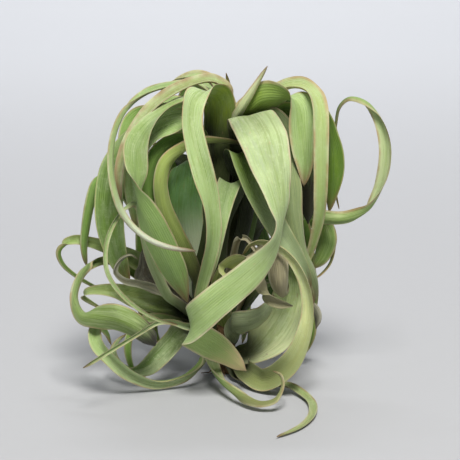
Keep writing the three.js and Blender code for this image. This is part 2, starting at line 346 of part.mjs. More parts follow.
    [-35.2, 26, -52, 1.6, 0.3, 0.4, 0.8], [-27.2, 21.6, -50, 1.4, 0.2, 0.4, 0.9], [-19.2, 19.6, -47, 1],
  ] },
  { name: "leaf_straight_blade", tone: "pale", channel: 0.2, start: fromStem(-128, 15, 6, 5, 1), drawn: [
    [-12, 18.4, -16, 3.6, 0.3, 0.5, 0.7], [-16.8, 19.2, -26, 2.8, 0.2, 0.4, 0.9],
    [-22.4, 20.8, -35, 2.2, 0.2, 0.4, 0.9], [-27.6, 20.4, -42, 2, 0.3, 0.3, 0.85],
    [-35.2, 16, -48, 1.8, 0.5, 0.2, 0.8], [-44.4, 10.4, -53, 1.7, 0.5, 0.2, 0.8],
    [-52, 5.6, -56, 1.5, 0.5, 0.2, 0.8], [-57.2, 2.4, -58, 1],
  ] },
  { name: "dry_leaf_dark", tone: "dark", channel: 0.3, start: fromStem(-160, 22.5, 5, 4.5), drawn: [
    [-22, 33, -7.5, 4.6, 0.8, 0.3, 0.4], [-28, 36, -10.5, 7.6, 0.9, 0.2, 0.3],
    [-31.6, 39.4, -13, 9.8, 0.95, 0.1, 0.2], [-31.4, 44, -15, 8, 0.95, 0.1, 0.1],
    [-32.4, 48, -16.5, 4.5, 0.9, 0.1, 0.1], [-32.8, 51.2, -17, 1],
  ] },
  { name: "dry_leaf_curl", tone: "tan", channel: 0.3, start: fromStem(-172, 20.4, 5.5, 3.5), drawn: [
    [-28.4, 34, -15, 3.4, 0.3, 0.4, 0.8], [-35.2, 36, -18, 3, 0.2, 0.4, 0.9],
    [-40.8, 37.2, -20, 2.6, 0.2, 0.5, 0.9], [-44.4, 40.8, -21, 2.3, 0.6, 0.8, 0],
    [-42.4, 45.6, -20, 2, 0.2, 0.9, -0.4], [-38.4, 47.6, -18, 1.6, 0.1, 0.9, -0.4], [-35.2, 46, -16, 1],
  ] },
  { name: "dry_leaf_tan", tone: "tan", channel: 0.2, start: fromStem(-35, 26, 5, 6), drawn: [
    [4, 36, -11, 6.5, 0.6, -0.6, 0.4], [10.4, 46.4, -20, 7.5, 0.7, -0.4, 0.5],
    [16.8, 50, -27, 8.5, 0.8, -0.3, 0.4], [20.4, 44.8, -31, 8.5, 1, 0, 0.1],
    [21.2, 37.6, -31, 7.5, 1, 0.1, 0], [22, 32.4, -27, 5, 1, 0.1, 0],
    [23.6, 32.4, -21, 3, 0.9, 0.1, 0.2], [24.8, 37.6, -18, 1],
  ] },
  { name: "dry_leaf_whisker", tone: "tan", channel: 0.2, start: fromStem(-50, 28, 4, 3.5), drawn: [
    [2.4, 44.8, -14, 3, 0.7, -0.4, 0.4], [4.8, 53.6, -20, 2.6, 0.8, -0.4, 0.2],
    [8, 54.4, -23, 2.2, 0.6, -0.4, 0.6], [11.2, 50.4, -25, 1.8, 0.8, -0.3, 0.4], [14, 45.2, -25, 1],
  ] },
  { name: "leaf_yellow_arch", tone: "yellow", channel: 0.2, start: fromStem(-60, 20, 5, 7), drawn: [
    [-2.8, 29.6, -13, 8, 0.8, -0.5, 0.2], [-1.6, 36, -20, 9, 0.6, -0.6, 0.5],
    [1.2, 42.4, -25, 9, 0.3, -0.6, 0.8], [6.4, 44.8, -29, 8.6, 0, -0.5, 0.9],
    [11.6, 42.4, -33, 8, -0.3, -0.4, 0.85], [14, 36.8, -35, 7, -0.6, -0.3, 0.6],
    [16.4, 31.2, -36, 5.6, -0.3, -0.3, 0.9], [21.2, 28.4, -37, 4.2, -0.1, -0.3, 0.95],
    [26.8, 27.2, -37, 1.6, 0, -0.3, 1],
  ] },
  { name: "leaf_short_dull", tone: "green", channel: 0.18, start: fromStem(-25, 13, 6, 8, 2), drawn: [
    [4, 20, -14, 9.5, -0.1, -0.4, 0.9], [9.6, 21.2, -20, 9, -0.1, -0.4, 0.9],
    [14.4, 24, -23, 7, -0.4, -0.4, 0.8], [17.6, 28, -24, 4, -0.6, -0.3, 0.6], [19.2, 31.6, -23, 1],
  ] },
  { name: "dry_leaf_flake", tone: "grey", channel: 0.2, start: fromStem(0, 15, 6, 4, 1), drawn: [
    [14.4, 19.6, 8, 4, 0.1, -0.9, 0.4], [27.6, 26.4, 4, 4.4, 0.2, -0.8, 0.5],
    [34, 27.2, 0, 5, 0.4, -0.8, 0.3], [36.4, 23.2, -2, 4.6, 0.6, -0.8, 0], [36, 18, -2, 1],
  ] },
];

// The back of the rosette. Each row is a name, tone, heading, foot height on the stem, reach, rise,
// swing, width, end height and twist
const BACK_LEAVES = [
  ["leaf_back_1", "pale", 62, 25, 47, 92, -18, 9, 14, 30],
  ["leaf_back_2", "green", 126, 23, 45, 86, 8, 10, 12, -25],
  ["leaf_back_3", "deep", 104, 20, 53, 72, -4, 10, 3, 20],
  ["leaf_back_4", "green", 142, 17, 40, 52, -2, 8, 6, -30],
  ["leaf_back_5", "pale", 44, 14, 45, 60, -12, 9, 5, 25],
  ["leaf_back_6", "green", 82, 11, 51, 40, -4, 8, 0.7, 0],
  ["leaf_back_7", "yellow", 122, 9, 47, 30, 6, 7, 0.7, 0],
  ["leaf_back_8", "green", 22, 11, 37, 36, -8, 7, 3, 20],
  ["leaf_back_9", "pale", 90, 26, 36, 100, 6, 8, 40, -30],
  ["leaf_back_10", "green", 112, 25, 37, 96, 14, 8, 32, 35],
  ["leaf_back_11", "green", 32, 22, 39, 78, -16, 8, 20, -20],
  ["leaf_back_12", "deep", 68, 16, 45, 58, -6, 8, 8, 15],
  ["leaf_back_13", "green", 100, 7.5, 37, 16, 4, 6, 0.7, 0],
  ["leaf_back_14", "yellow", 58, 8, 39, 20, -8, 6, 0.7, 0],
];

// Centripetal Catmull-Rom through rows of numbers, at a share u of the knots' span
function knotsOf(rows) {
  const knots = [0];
  for (let i = 1; i < rows.length; i++) {
    const apart = Math.hypot(...[0, 1, 2].map((k) => rows[i][k] - rows[i - 1][k]));
    knots.push(knots[i - 1] + Math.sqrt(Math.max(apart, 0.01)));
  }
  return knots;
}

function along(rows, knots, u) {
  const last = rows.length - 1;
  const t = u * knots[last];
  let i = 0;
  while (i < last - 1 && knots[i + 1] < t) i += 1;
  const mirrored = (a, b) => rows[a].map((v, k) => 2 * v - rows[b][k]);
  const before = i > 0 ? rows[i - 1] : mirrored(0, 1);
  const after = i < last - 1 ? rows[i + 2] : mirrored(last, last - 1);
  const p = [before, rows[i], rows[i + 1], after];
  const k1 = knots[i];
  const k2 = knots[i + 1];
  const k0 = i > 0 ? knots[i - 1] : 2 * k1 - k2;
  const k3 = i < last - 1 ? knots[i + 2] : 2 * k2 - k1;
  const mix = (a, b, ka, kb) => a.map((v, k) => (v * (kb - t) + b[k] * (t - ka)) / (kb - ka));
  const a1 = mix(p[0], p[1], k0, k1);
  const a2 = mix(p[1], p[2], k1, k2);
  const a3 = mix(p[2], p[3], k2, k3);
  return mix(mix(a1, a2, k0, k2), mix(a2, a3, k1, k3), k1, k2);
}

// All stations of a leaf in place, with the missing widthwise directions filled in and none turned round
function stationsOf(leaf) {
  const rows = leaf.rows ?? [...leaf.start, ...leaf.drawn.map(place), ...(leaf.laid ?? [])];
  let before = rows[0].slice(4);
  return rows.map((row) => {
    let across = row.length > 4 ? row.slice(4) : before;
    const turned = across.reduce((sum, v, k) => sum + v * before[k], 0) < 0;
    if (turned) across = across.map((v) => -v);
    before = across;
    return [...row.slice(0, 4), ...across];
  });
}

// Frames along a leaf: closer together where it bends
const FINE = 240;
function framesOf(leaf) {
  const rows = stationsOf(leaf);
  const knots = knotsOf(rows);
  const at = (u) => new THREE.Vector3(...along(rows, knots, u));
  const tangentAt = (u) => at(Math.min(1, u + 0.002)).sub(at(Math.max(0, u - 0.002))).normalize();
  const measure = [0];
  for (let i = 1; i <= FINE; i++) {
    const length = at(i / FINE).distanceTo(at((i - 1) / FINE));
    const bend = tangentAt(i / FINE).angleTo(tangentAt((i - 1) / FINE));
    measure.push(measure[i - 1] + length / LONGEST_STEP + bend / SHARPEST_TURN);
  }
  const steps = Math.max(8, Math.ceil(measure[FINE]));
  const frames = [];
  let i = 0;
  for (let step = 0; step <= steps; step++) {
    const wanted = (measure[FINE] * step) / steps;
    while (i < FINE - 1 && measure[i + 1] < wanted) i += 1;
    const u = (i + (wanted - measure[i]) / (measure[i + 1] - measure[i])) / FINE;
    const row = along(rows, knots, u);
    const tangent = tangentAt(u);
    const across = new THREE.Vector3(...row.slice(4));
    across.addScaledVector(tangent, -across.dot(tangent)).normalize();
    const face = across.clone().cross(tangent);
    frames.push({ at: at(u), tangent, across, face, width: Math.max(LEAF_TIP_WIDTH, row[3]) });
  }
  return frames;
}

// A closed blade, with three columns across its upper face and three across its underside. The channel
// raises its edges
const COLUMNS = [-1, 0, 1];
function blade(frames, channel, grow = 0) {
  const corners = [];
  frames.forEach(({ at, tangent, across, face, width }, i) => {
    const depth = channel * width;
    const isEnd = i === frames.length - 1;
    const beyond = grow * (isEnd ? 1 : i === 0 ? -1 : 0);
    for (const side of [1, -1]) {
      for (const column of COLUMNS) {
        const thick = column === 0 && !isEnd ? MIDRIB_THICKNESS : EDGE_THICKNESS;
        const lift = depth * (column * column - 0.5) + side * (thick / 2 + grow);
        const corner = at.clone().addScaledVector(tangent, beyond);
        corner.addScaledVector(across, column * (width / 2 + grow)).addScaledVector(face, lift);
        corners.push(corner);
      }
    }
  });
  const ring = 2 * COLUMNS.length;
  const top = (i, j) => i * ring + j;
  const under = (i, j) => i * ring + COLUMNS.length + j;
  const faces = [];
  const quad = (a, b, c, d) => faces.push(a, b, c, a, c, d);
  const quadUnder = (a, b, c, d) => faces.push(a, c, b, a, d, c);
  const last = COLUMNS.length - 1;
  for (let i = 0; i < frames.length - 1; i++) {
    for (let j = 0; j < last; j++) {
      quad(top(i, j), top(i, j + 1), top(i + 1, j + 1), top(i + 1, j));
      quadUnder(under(i, j), under(i, j + 1), under(i + 1, j + 1), under(i + 1, j));
    }
    quad(top(i, 0), top(i + 1, 0), under(i + 1, 0), under(i, 0));
    quad(top(i, last), under(i, last), under(i + 1, last), top(i + 1, last));
  }
  for (let j = 0; j < last; j++) {
    const end = frames.length - 1;
    quad(top(0, j), under(0, j), under(0, j + 1), top(0, j + 1));
    quad(top(end, j), top(end, j + 1), under(end, j + 1), under(end, j));
  }
  return solid(corners, faces);
}

function solid(corners, faces) {
  const vertProperties = new Float32Array(corners.flatMap((v) => v.toArray()));
  return new wasm.Manifold(new wasm.Mesh({ numProp: 3, vertProperties, triVerts: new Uint32Array(faces) }));
}

// The stem: height, middle x, radius. Its lowest ring is the flat spot that the plant rests on
const STEM = [
  [0, 0, 3.4], [3, -0.3, 3.9], [5.5, -0.8, 3.4], [8, -1.3, 5.2], [12, -2, 6], [18, -3, 6.4], [26, -4.4, 6.2],
  [33, -4.8, 5], [40, -3.8, 3.4], [46, -3, 1.6],
];
function stem(grow = 0) {
  const corners = [];
  STEM.forEach(([z, x, radius], i) => {
    for (let k = 0; k < STEM_SIDES; k++) {
      const turn = (2 * Math.PI * k) / STEM_SIDES;
      const out = radius * (1 + (grow || i === 0 ? 0 : 0.05 * Math.cos(5 * turn + i))) + grow;
      corners.push(new THREE.Vector3(x + out * Math.cos(turn), out * Math.sin(turn), z));
    }
  });
  const faces = [];
  for (let i = 0; i < STEM.length - 1; i++) {
    for (let k = 0; k < STEM_SIDES; k++) {
      const next = (k + 1) % STEM_SIDES;
      const [a, b] = [i * STEM_SIDES + k, i * STEM_SIDES + next];
      faces.push(a, b, b + STEM_SIDES, a, b + STEM_SIDES, a + STEM_SIDES);
    }
  }
  const topRing = (STEM.length - 1) * STEM_SIDES;
  for (let k = 1; k < STEM_SIDES - 1; k++) {
    faces.push(0, k + 1, k);
    faces.push(topRing, topRing + k, topRing + k + 1);
  }
  return solid(corners, faces);
}

// The largest body of a solid
function largest(body) {
  return body.decompose().sort((a, b) => b.volume() - a.volume())[0];
}

function meshOf(name, body, tone) {
  const made = body.getMesh();
  const positions = new Float32Array(made.numVert * 3);
  for (let i = 0; i < made.numVert; i++) {
    positions.set(made.vertProperties.subarray(i * made.numProp, i * made.numProp + 3), i * 3);
  }
  const geometry = new THREE.BufferGeometry();
  geometry.setAttribute("position", new THREE.BufferAttribute(positions, 3));
  geometry.setIndex(new THREE.BufferAttribute(new Uint32Array(made.triVerts), 1));
  const merged = mergeVertices(geometry, 1e-4);
  merged.computeVertexNormals();
  const mesh = new THREE.Mesh(merged, new THREE.MeshStandardMaterial({ ...TONE[tone], metalness: 0 }));
  mesh.name = name;
  return mesh;
}

const plant = new THREE.Group();
plant.add(meshOf("stem", stem(), "bark"));
const stemRoom = stem(2 * CLEARANCE);

const allLeaves = [
  ...LEAVES,
  ...BACK_LEAVES.map(([name, tone, ...shape]) => ({ name, tone, channel: 0.18, rows: arching(...shape) })),
];
// The leaf bases are packed together in the rosette. Where a leaf would cross one before it, the crossing
// is cut clear of it, and the part that runs out to the tip is kept.
const grown = [];
for (const leaf of allLeaves) {
  const frames = framesOf(leaf);
  let body = blade(frames, leaf.channel).subtract(stemRoom);
  for (const earlier of grown) {
    const crosses = body.intersect(earlier.body).volume() > LEAST_CROSSING;
    if (crosses) body = body.subtract(earlier.room);
  }
  body = largest(body);
  grown.push({ body, room: blade(frames, leaf.channel, CLEARANCE) });
  plant.add(meshOf(leaf.name, body, leaf.tone));
}

export default plant;
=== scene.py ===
import math
import random

import bpy
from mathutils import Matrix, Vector


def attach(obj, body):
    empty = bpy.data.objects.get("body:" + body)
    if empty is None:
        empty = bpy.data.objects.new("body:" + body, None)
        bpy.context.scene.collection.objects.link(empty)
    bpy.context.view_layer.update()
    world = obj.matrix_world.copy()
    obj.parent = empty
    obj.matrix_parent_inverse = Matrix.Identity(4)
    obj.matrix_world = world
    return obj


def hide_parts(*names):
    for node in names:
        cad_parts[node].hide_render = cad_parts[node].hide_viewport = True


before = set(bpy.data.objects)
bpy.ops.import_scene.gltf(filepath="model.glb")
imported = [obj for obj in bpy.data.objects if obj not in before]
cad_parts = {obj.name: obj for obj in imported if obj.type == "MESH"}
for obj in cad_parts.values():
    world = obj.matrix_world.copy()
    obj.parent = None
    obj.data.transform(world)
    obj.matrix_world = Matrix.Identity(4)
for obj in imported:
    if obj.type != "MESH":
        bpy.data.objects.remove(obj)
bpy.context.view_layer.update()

# The camera. It stands a little higher than the plant and looks down on it by 12 degrees, through a
# long lens. It is aimed at the middle of the rosette.
MM = 0.001
LOOK_DOWN = math.radians(12)
EYE_DISTANCE = 740 * MM
SEEN_WIDTH = 184 * MM
SENSOR_WIDTH = 36
VIEW_CENTRE_RIGHT = 1.6
VIEW_CENTRE_UP = 57.6
AIM = Vector((VIEW_CENTRE_RIGHT, 0, VIEW_CENTRE_UP / math.cos(LOOK_DOWN))) * MM
LOOK = Vector((0, math.cos(LOOK_DOWN), -math.sin(LOOK_DOWN)))

camera = bpy.data.objects.new("camera", bpy.data.cameras.new("camera"))
bpy.context.scene.collection.objects.link(camera)
camera.location = AIM - LOOK * EYE_DISTANCE
camera.rotation_mode = "QUATERNION"
camera.rotation_quaternion = LOOK.to_track_quat("-Z", "Y")
camera.data.sensor_width = SENSOR_WIDTH
camera.data.lens = SENSOR_WIDTH * EYE_DISTANCE / SEEN_WIDTH
camera.data.clip_start = 0.05
camera.data.clip_end = 20
bpy.context.scene.camera = camera


# The studio. A round sheet of pale grey card lies under the plant and curves up on all sides. A
# cloth-covered lamp stands above the front, one lights the card behind, and the room is white.
FLOOR_REACH = 1.3
CURVE_RADIUS = 1.0
WALL_HEIGHT = 3.2
CURVE_STEPS = 16
AROUND = 96
CARD = (0.455, 0.462, 0.482, 1)
CARD_FIBRE = (*(0.985 * part for part in CARD[:3]), 1)
LAMP_SIZE = 0.65


def studio_profile():
    """Radius and height of the card, from its middle out and up."""
    rows = [(0.001, 0), (FLOOR_REACH / 2, 0), (FLOOR_REACH, 0)]
    for i in range(1, CURVE_STEPS + 1):
        turn = math.radians(90 * i / CURVE_STEPS)
        rows.append((FLOOR_REACH + CURVE_RADIUS * math.sin(turn), CURVE_RADIUS * (1 - math.cos(turn))))
    return rows + [(FLOOR_REACH + CURVE_RADIUS, WALL_HEIGHT)]


def turned_sheet(name, profile):
    """An open sheet turned about Z, with its inside facing the middle."""
    points = []
    for radius, height in profile:
        for k in range(AROUND):
            turn = 2 * math.pi * k / AROUND
            points.append((radius * math.cos(turn), radius * math.sin(turn), height))
    faces = [tuple(range(AROUND))]
    for i in range(len(profile) - 1):
        for k in range(AROUND):
            following = (k + 1) % AROUND
            low, high = i * AROUND, (i + 1) * AROUND
            faces.append((low + k, high + k, high + following, low + following))
    mesh = bpy.data.meshes.new(name)
    mesh.from_pydata(points, [], faces)
    mesh.shade_smooth()
    sheet = bpy.data.objects.new(name, mesh)
    bpy.context.scene.collection.objects.link(sheet)
    return sheet


class Shade:
    """A shader socket. Sums and products of these and of numbers add the Math nodes they need."""

    def __init__(self, tree, socket):
        self.tree = tree
        self.socket = socket

    def node(self, kind, settings, values, output=0):
        made = self.tree.nodes.new(kind)
        for key, setting in settings.items():
            setattr(made, key, setting)
        for key, value in values.items():
            if isinstance(value, Shade):
                self.tree.links.new(value.socket, made.inputs[key])
            else:
                made.inputs[key].default_value = value
        return Shade(self.tree, made.outputs[output] if made.outputs else None)

    def math(self, operation, *values):
        return self.node("ShaderNodeMath", {"operation": operation}, dict(enumerate(values)))

    def __add__(self, other):
        return self.math("ADD", self, other)

    def __sub__(self, other):
        return self.math("SUBTRACT", self, other)

    def __mul__(self, other):
        return self.math("MULTIPLY", self, other)

    def __radd__(self, other):
        return self.math("ADD", other, self)

    def __rsub__(self, other):
        return self.math("SUBTRACT", other, self)

    def __rmul__(self, other):
        return self.math("MULTIPLY", other, self)

    def __abs__(self):
        return self.math("ABSOLUTE", self)

    def sine(self):
        return self.math("SINE", self)

    def between(self, low, high):
        """0 below low, 1 above high, and a smooth rise between them. It falls where low is the larger."""
        smooth = {"interpolation_type": "SMOOTHSTEP"}
        return self.node("ShaderNodeMapRange", smooth, {"Value": self, "From Min": low, "From Max": high})

    def tint(self, first, second):
        """The first colour where this is 0, and the second where it is 1."""
        return self.node("ShaderNodeMix", {"data_type": "RGBA"}, {0: self, 6: first, 7: second}, output=2)

    def noise(self, scale, detail=3, roughness=0.5):
        """Noise from 0 to 1 at this vector."""
        values = {"Vector": self, "Scale": scale, "Detail": detail, "Roughness": roughness}
        return self.node("ShaderNodeTexNoise", {}, values)


def colour(code):
    """A colour written as six hexadecimal digits, for a socket."""
    shares = [int(code[i : i + 2], 16) / 255 for i in (0, 2, 4)]
    return tuple(s / 12.92 if s <= 0.04045 else ((s + 0.055) / 1.055) ** 2.4 for s in shares) + (1,)


def new_material(name):
    """An empty material and a way into its tree."""
    material = bpy.data.materials.new(name)
    material.use_nodes = True
    material.node_tree.nodes.clear()
    return material, Shade(material.node_tree, None)


def finish_material(start, values, height=None, depth=0.0):
    """The surface of a material, with relief from a height of 0 to 1 and a depth in metres."""
    if height is not None:
        relief = {"Height": height, "Distance": depth, "Strength": 1.0}
        values = {**values, "Normal": start.node("ShaderNodeBump", {}, relief)}
    surface = start.node("ShaderNodeBsdfPrincipled", {}, values)
    start.node("ShaderNodeOutputMaterial", {}, {"Surface": surface})


def card_material():
    material, start = new_material("card")
    fibre = start.node("ShaderNodeTexCoord", {}, {}, output=3).noise(180, detail=4)
    finish_material(start, {"Base Color": fibre.tint(CARD, CARD_FIBRE), "Roughness": 0.9})
    return material


card = turned_sheet("card", studio_profile())
card.data.materials.append(card_material())


def lamp(name, spot, power, tint, target):
    """A square area lamp that faces a target."""
    light = bpy.data.lights.new(name, "AREA")
    light.size = LAMP_SIZE
    light.energy = power
    light.color = tint
    holder = bpy.data.objects.new(name, light)
    holder.location = spot
    holder.rotation_mode = "QUATERNION"
    holder.rotation_quaternion = (target - Vector(spot)).to_track_quat("-Z", "Y")
    bpy.context.scene.collection.objects.link(holder)


lamp("lamp_front", (0.12, -1.02, 1.55), 43, (1, 0.98, 0.94), AIM)
lamp("lamp_behind", (0, 1, 1.6), 36, (0.97, 0.985, 1), Vector((0, 2.4, 0.3)))

room = bpy.data.worlds.new("room")
room.use_nodes = True
room.node_tree.nodes["Background"].inputs["Color"].default_value = (0.93, 0.96, 1, 1)
room.node_tree.nodes["Background"].inputs["Strength"].default_value = 0.08
bpy.context.scene.world = room
bpy.context.scene.view_settings.view_transform = "Standard"


# The stem. It is short and woody, hidden in the heart of the rosette, and grew upward as its lowest
# leaves died, so it is ringed with their scars. Its flat foot is where the plant broke off its perch.
# Height, middle x and radius, from the foot up
STEM = [
    (0, 0, 3.4), (3, -0.3, 3.9), (5.5, -0.8, 3.4), (8, -1.3, 5.2), (12, -2, 6), (18, -3, 6.4),
    (26, -4.4, 6.2), (33, -4.8, 5), (40, -3.8, 3.4), (46, -3, 1.6),
]
STEM_RINGS = 90
STEM_SIDES = 48
SCAR_STEP = 1.9
SCAR_DEPTH = 0.16
SCARS_FROM, SCARS_TO = 4, 42
BARK_COLOURS = colour("3d2817"), colour("8a6a45")


def knots_of(rows):
    """Centripetal knots of a curve through rows of numbers that start with x, y and z."""
    knots = [0.0]
    for before, row in zip(rows, rows[1:]):
        knots.append(knots[-1] + math.sqrt(max(math.dist(before[:3], row[:3]), 0.01)))
    return knots


def along(rows, knots, u):
    """The row at a share u of a smooth curve through all of them."""
    last = len(rows) - 1
    t = u * knots[last]
    i = 0
    while i < last - 1 and knots[i + 1] < t:
        i += 1
    before = rows[i - 1] if i > 0 else [2 * a - b for a, b in zip(rows[0], rows[1])]
    after = rows[i + 2] if i < last - 1 else [2 * a - b for a, b in zip(rows[last], rows[last - 1])]
    p = [before, rows[i], rows[i + 1], after]
    k = [
        knots[i - 1] if i > 0 else 2 * knots[i] - knots[i + 1],
        knots[i],
        knots[i + 1],
        knots[i + 2] if i < last - 1 else 2 * knots[i + 1] - knots[i],
    ]

    def mix(a, b, ka, kb):
        return [(v * (kb - t) + w * (t - ka)) / (kb - ka) for v, w in zip(a, b)]

    first, second, third = (mix(p[j], p[j + 1], k[j], k[j + 1]) for j in range(3))
    return mix(mix(first, second, k[0], k[2]), mix(second, third, k[1], k[3]), k[1], k[2])


def linked(name, points, faces, attributes):
    """A smooth mesh object of points in millimetres, with one number a point for each attribute."""
    mesh = bpy.data.meshes.new(name)
    mesh.from_pydata([p * MM for p in points], [], faces)
    for key, values in attributes.items():
        mesh.attributes.new(key, "FLOAT", "POINT").data.foreach_set("value", values)
    mesh.shade_smooth()
    piece = bpy.data.objects.new(name, mesh)
    bpy.context.scene.collection.objects.link(piece)
    return piece


def tube_faces(steps, sides):
    """Faces of a closed tube of rings of points, from its start to that many steps on."""
    faces = [tuple(reversed(range(sides))), tuple(steps * sides + j for j in range(sides))]
    for i in range(steps):
        for j in range(sides):
            a, b = i * sides + j, i * sides + (j + 1) % sides
            faces.append((a, b, b + sides, a + sides))
    return faces


def stem_mesh():
    """The stem as one closed body, waved where the scars of dead leaves ring it."""
    rows = [(x, 0, z, radius) for z, x, radius in STEM]
    knots = knots_of(rows)
    draw = random.Random(11)
    lean = [draw.uniform(0, 2 * math.pi) for _ in range(STEM_RINGS + 1)]
    points = []
    for i in range(STEM_RINGS + 1):
        x, y, z, radius = along(rows, knots, i / STEM_RINGS)
        scar = SCAR_DEPTH * math.cos(2 * math.pi * z / SCAR_STEP) if SCARS_FROM < z < SCARS_TO else 0
        for j in range(STEM_SIDES):
            turn = 2 * math.pi * j / STEM_SIDES
            rough = 0.05 * math.cos(5 * turn + z / 3) + 0.025 * math.sin(11 * turn + z) - 0.05
            out = radius * (1 + rough) + scar * math.cos(turn * 2 + lean[i // 9])
            points.append(Vector((x + out * math.cos(turn), y + out * math.sin(turn), z)))
    return linked("stem_bark", points, tube_faces(STEM_RINGS, STEM_SIDES), {})


def bark_material():
    material, start = new_material("bark")
    spot = start.node("ShaderNodeTexCoord", {}, {}, output=3)
    stretch = {"Vector": spot, "Scale": (1, 1, 0.35)}
    strands = start.node("ShaderNodeMapping", {}, stretch).noise(1900, detail=5, roughness=0.65)
    patches = spot.noise(320, detail=2)
    worn = (strands * 0.7 + patches * 0.5).between(0.35, 0.85)
    finish_material(
        start,
        {"Base Color": worn.tint(*BARK_COLOURS), "Roughness": 0.95 - 0.15 * worn},
        strands + patches,
        0.5 * MM,
    )
    return material


bark = bark_material()
stem = stem_mesh()
stem.data.materials.append(bark)
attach(stem, "root")
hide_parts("stem")


# The root fibres. An air plant holds on with a few wiry brown roots and takes nothing in through
# them. These are the dried and broken ones that stayed on the foot of the stem when it was picked.
ROOT_COUNT = 13
ROOT_RINGS = 16
ROOT_SIDES = 7
ROOT_CIRCLE = 2.6
FLOOR_GAP = 0.05


def root_fibres():
    """Thin wavy roots that leave the foot of the stem, droop and lie down."""
    draw = random.Random(5)
    points, faces = [], []
    for k in range(ROOT_COUNT):
        heading = math.radians(360 * k / ROOT_COUNT + draw.uniform(-12, 12))
        height = draw.uniform(1.6, 10)
        length = draw.uniform(4, 9)
        bend = draw.uniform(-0.8, 0.8)
        thick = draw.uniform(0.2, 0.36)
        at = Vector((ROOT_CIRCLE * math.cos(heading) - 0.5, ROOT_CIRCLE * math.sin(heading), height))
        step = length / (ROOT_RINGS - 1)
        first = len(points)
        for i in range(ROOT_RINGS):
            share = i / (ROOT_RINGS - 1)
            fall = -0.35 - 0.9 * share if at.z > 0.9 else 0.0
            turn = heading + bend * share + 0.25 * math.sin(5 * share + k)
            way = Vector((math.cos(turn), math.sin(turn), fall)).normalized()
            side = way.cross(Vector((0, 0, 1))).normalized()
            top = side.cross(way)
            radius = thick * (1 - 0.6 * share)
            for j in range(ROOT_SIDES):
                around = 2 * math.pi * j / ROOT_SIDES
                points.append(at + side * (radius * math.cos(around)) + top * (radius * math.sin(around)))
            at = at + way * step
            at.z = max(at.z, thick + FLOOR_GAP)
        faces.append(tuple(first + j for j in range(ROOT_SIDES)))
        faces.append(tuple(first + (ROOT_RINGS - 1) * ROOT_SIDES + j for j in reversed(range(ROOT_SIDES))))
        for i in range(ROOT_RINGS - 1):
            for j in range(ROOT_SIDES):
                a = first + i * ROOT_SIDES + j
                b = first + i * ROOT_SIDES + (j + 1) % ROOT_SIDES
                faces.append((a, a + ROOT_SIDES, b + ROOT_SIDES, b))
    return linked("root_fibres", points, faces, {})


roots = root_fibres()
roots.data.materials.append(bark)
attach(roots, "root")


# The yellow-green leaves. They are the youngest ones in the heart and the shaded ones that catch
# light through their thin blades. Each grew as one channelled strap out of the side of the stem.
EYE = AIM / MM - LOOK * (EYE_DISTANCE / MM)
VIEW_UP = Vector((0, math.sin(LOOK_DOWN), math.cos(LOOK_DOWN)))
MIDRIB_THICKNESS = 0.85
RIM_THICKNESS = 0.2
LEAF_STEP = 1.3
LEAF_TURN = math.radians(4)
FINE = 500
COLUMNS = [-1, -0.97, -0.88, -0.72, -0.5, -0.25, 0, 0.25, 0.5, 0.72, 0.88, 0.97, 1]
LOWEST = 0.15
NARROW_FOLD = 0.2
NARROW = 12
TIP_ROUND = 3.5
THIN_END = 40
STIFF_START = 30
# The waves along a blade, in mm for each radian
SWELL, RIPPLES, DENTS = 7.3, (5.1, 2.3), (3.1, 1.9)
SKIN_READINGS = "along", "across", "side", "far", "inset", "shelter"
# The stem leans left up to a height, and the bundle of leaves rises from there, back over its foot
LEAN, LEAN_HEIGHT = -5, 30
# The distances from the heart of the rosette, and the heights, over which its painted shade fades
HEART_SHADE = 26, 15
INNER_SHADE, INNER_SHADE_BACK = (38, 24), 10
SHADE_START, SHADE_END = (30, 42), (112, 100)


def place(row):
    """A station drawn in the front view, as [right, up, back, width, across x, y, z], put in place."""
    right, up, back, *rest = row
    ray = LOOK * (EYE_DISTANCE / MM) + VIEW_UP * (up - VIEW_CENTRE_UP)
    ray.x += right - VIEW_CENTRE_RIGHT
    return [*(EYE + ray * ((back - EYE.y) / ray.y)), *rest]


def stem_middle(height):
    """How far right of its foot the middle of the stem is."""
    return LEAN * min(1, height / LEAN_HEIGHT)


def bundle_middle(height):
    """How far right of the stem's foot the middle of the bundled leaves is."""
    return LEAN + 9 * max(0, height - LEAN_HEIGHT) / 70


def rising(heading, radius, top=84, width=9):
    """The hidden start of a leaf that rises in the bundle before it arches over."""
    turn = math.radians(heading)
    out = math.cos(turn), math.sin(turn)
    rows = []
    for z, share, wide in (14, 0.35, 5), (32, 0.8, width * 0.8), (top * 0.68, 1, width), (top, 1.15, width):
        x, y = bundle_middle(z) + out[0] * radius * share, out[1] * radius * share
        rows.append([x, y, z, wide, out[1], -out[0], 0])
    return rows


def from_stem(heading, height, radius=6, width=6, climb=1):
    """The start of a leaf that leaves the side of the stem at a height."""
    turn = math.radians(heading)
    out = math.cos(turn), math.sin(turn)
    middle = stem_middle(height)
    return [
        [middle + out[0] * 1.5, out[1] * 1.5, height - 2, width * 0.7, out[1], -out[0], 0],
        [middle + out[0] * radius, out[1] * radius, height + climb, width, out[1], -out[0], 0],
    ]


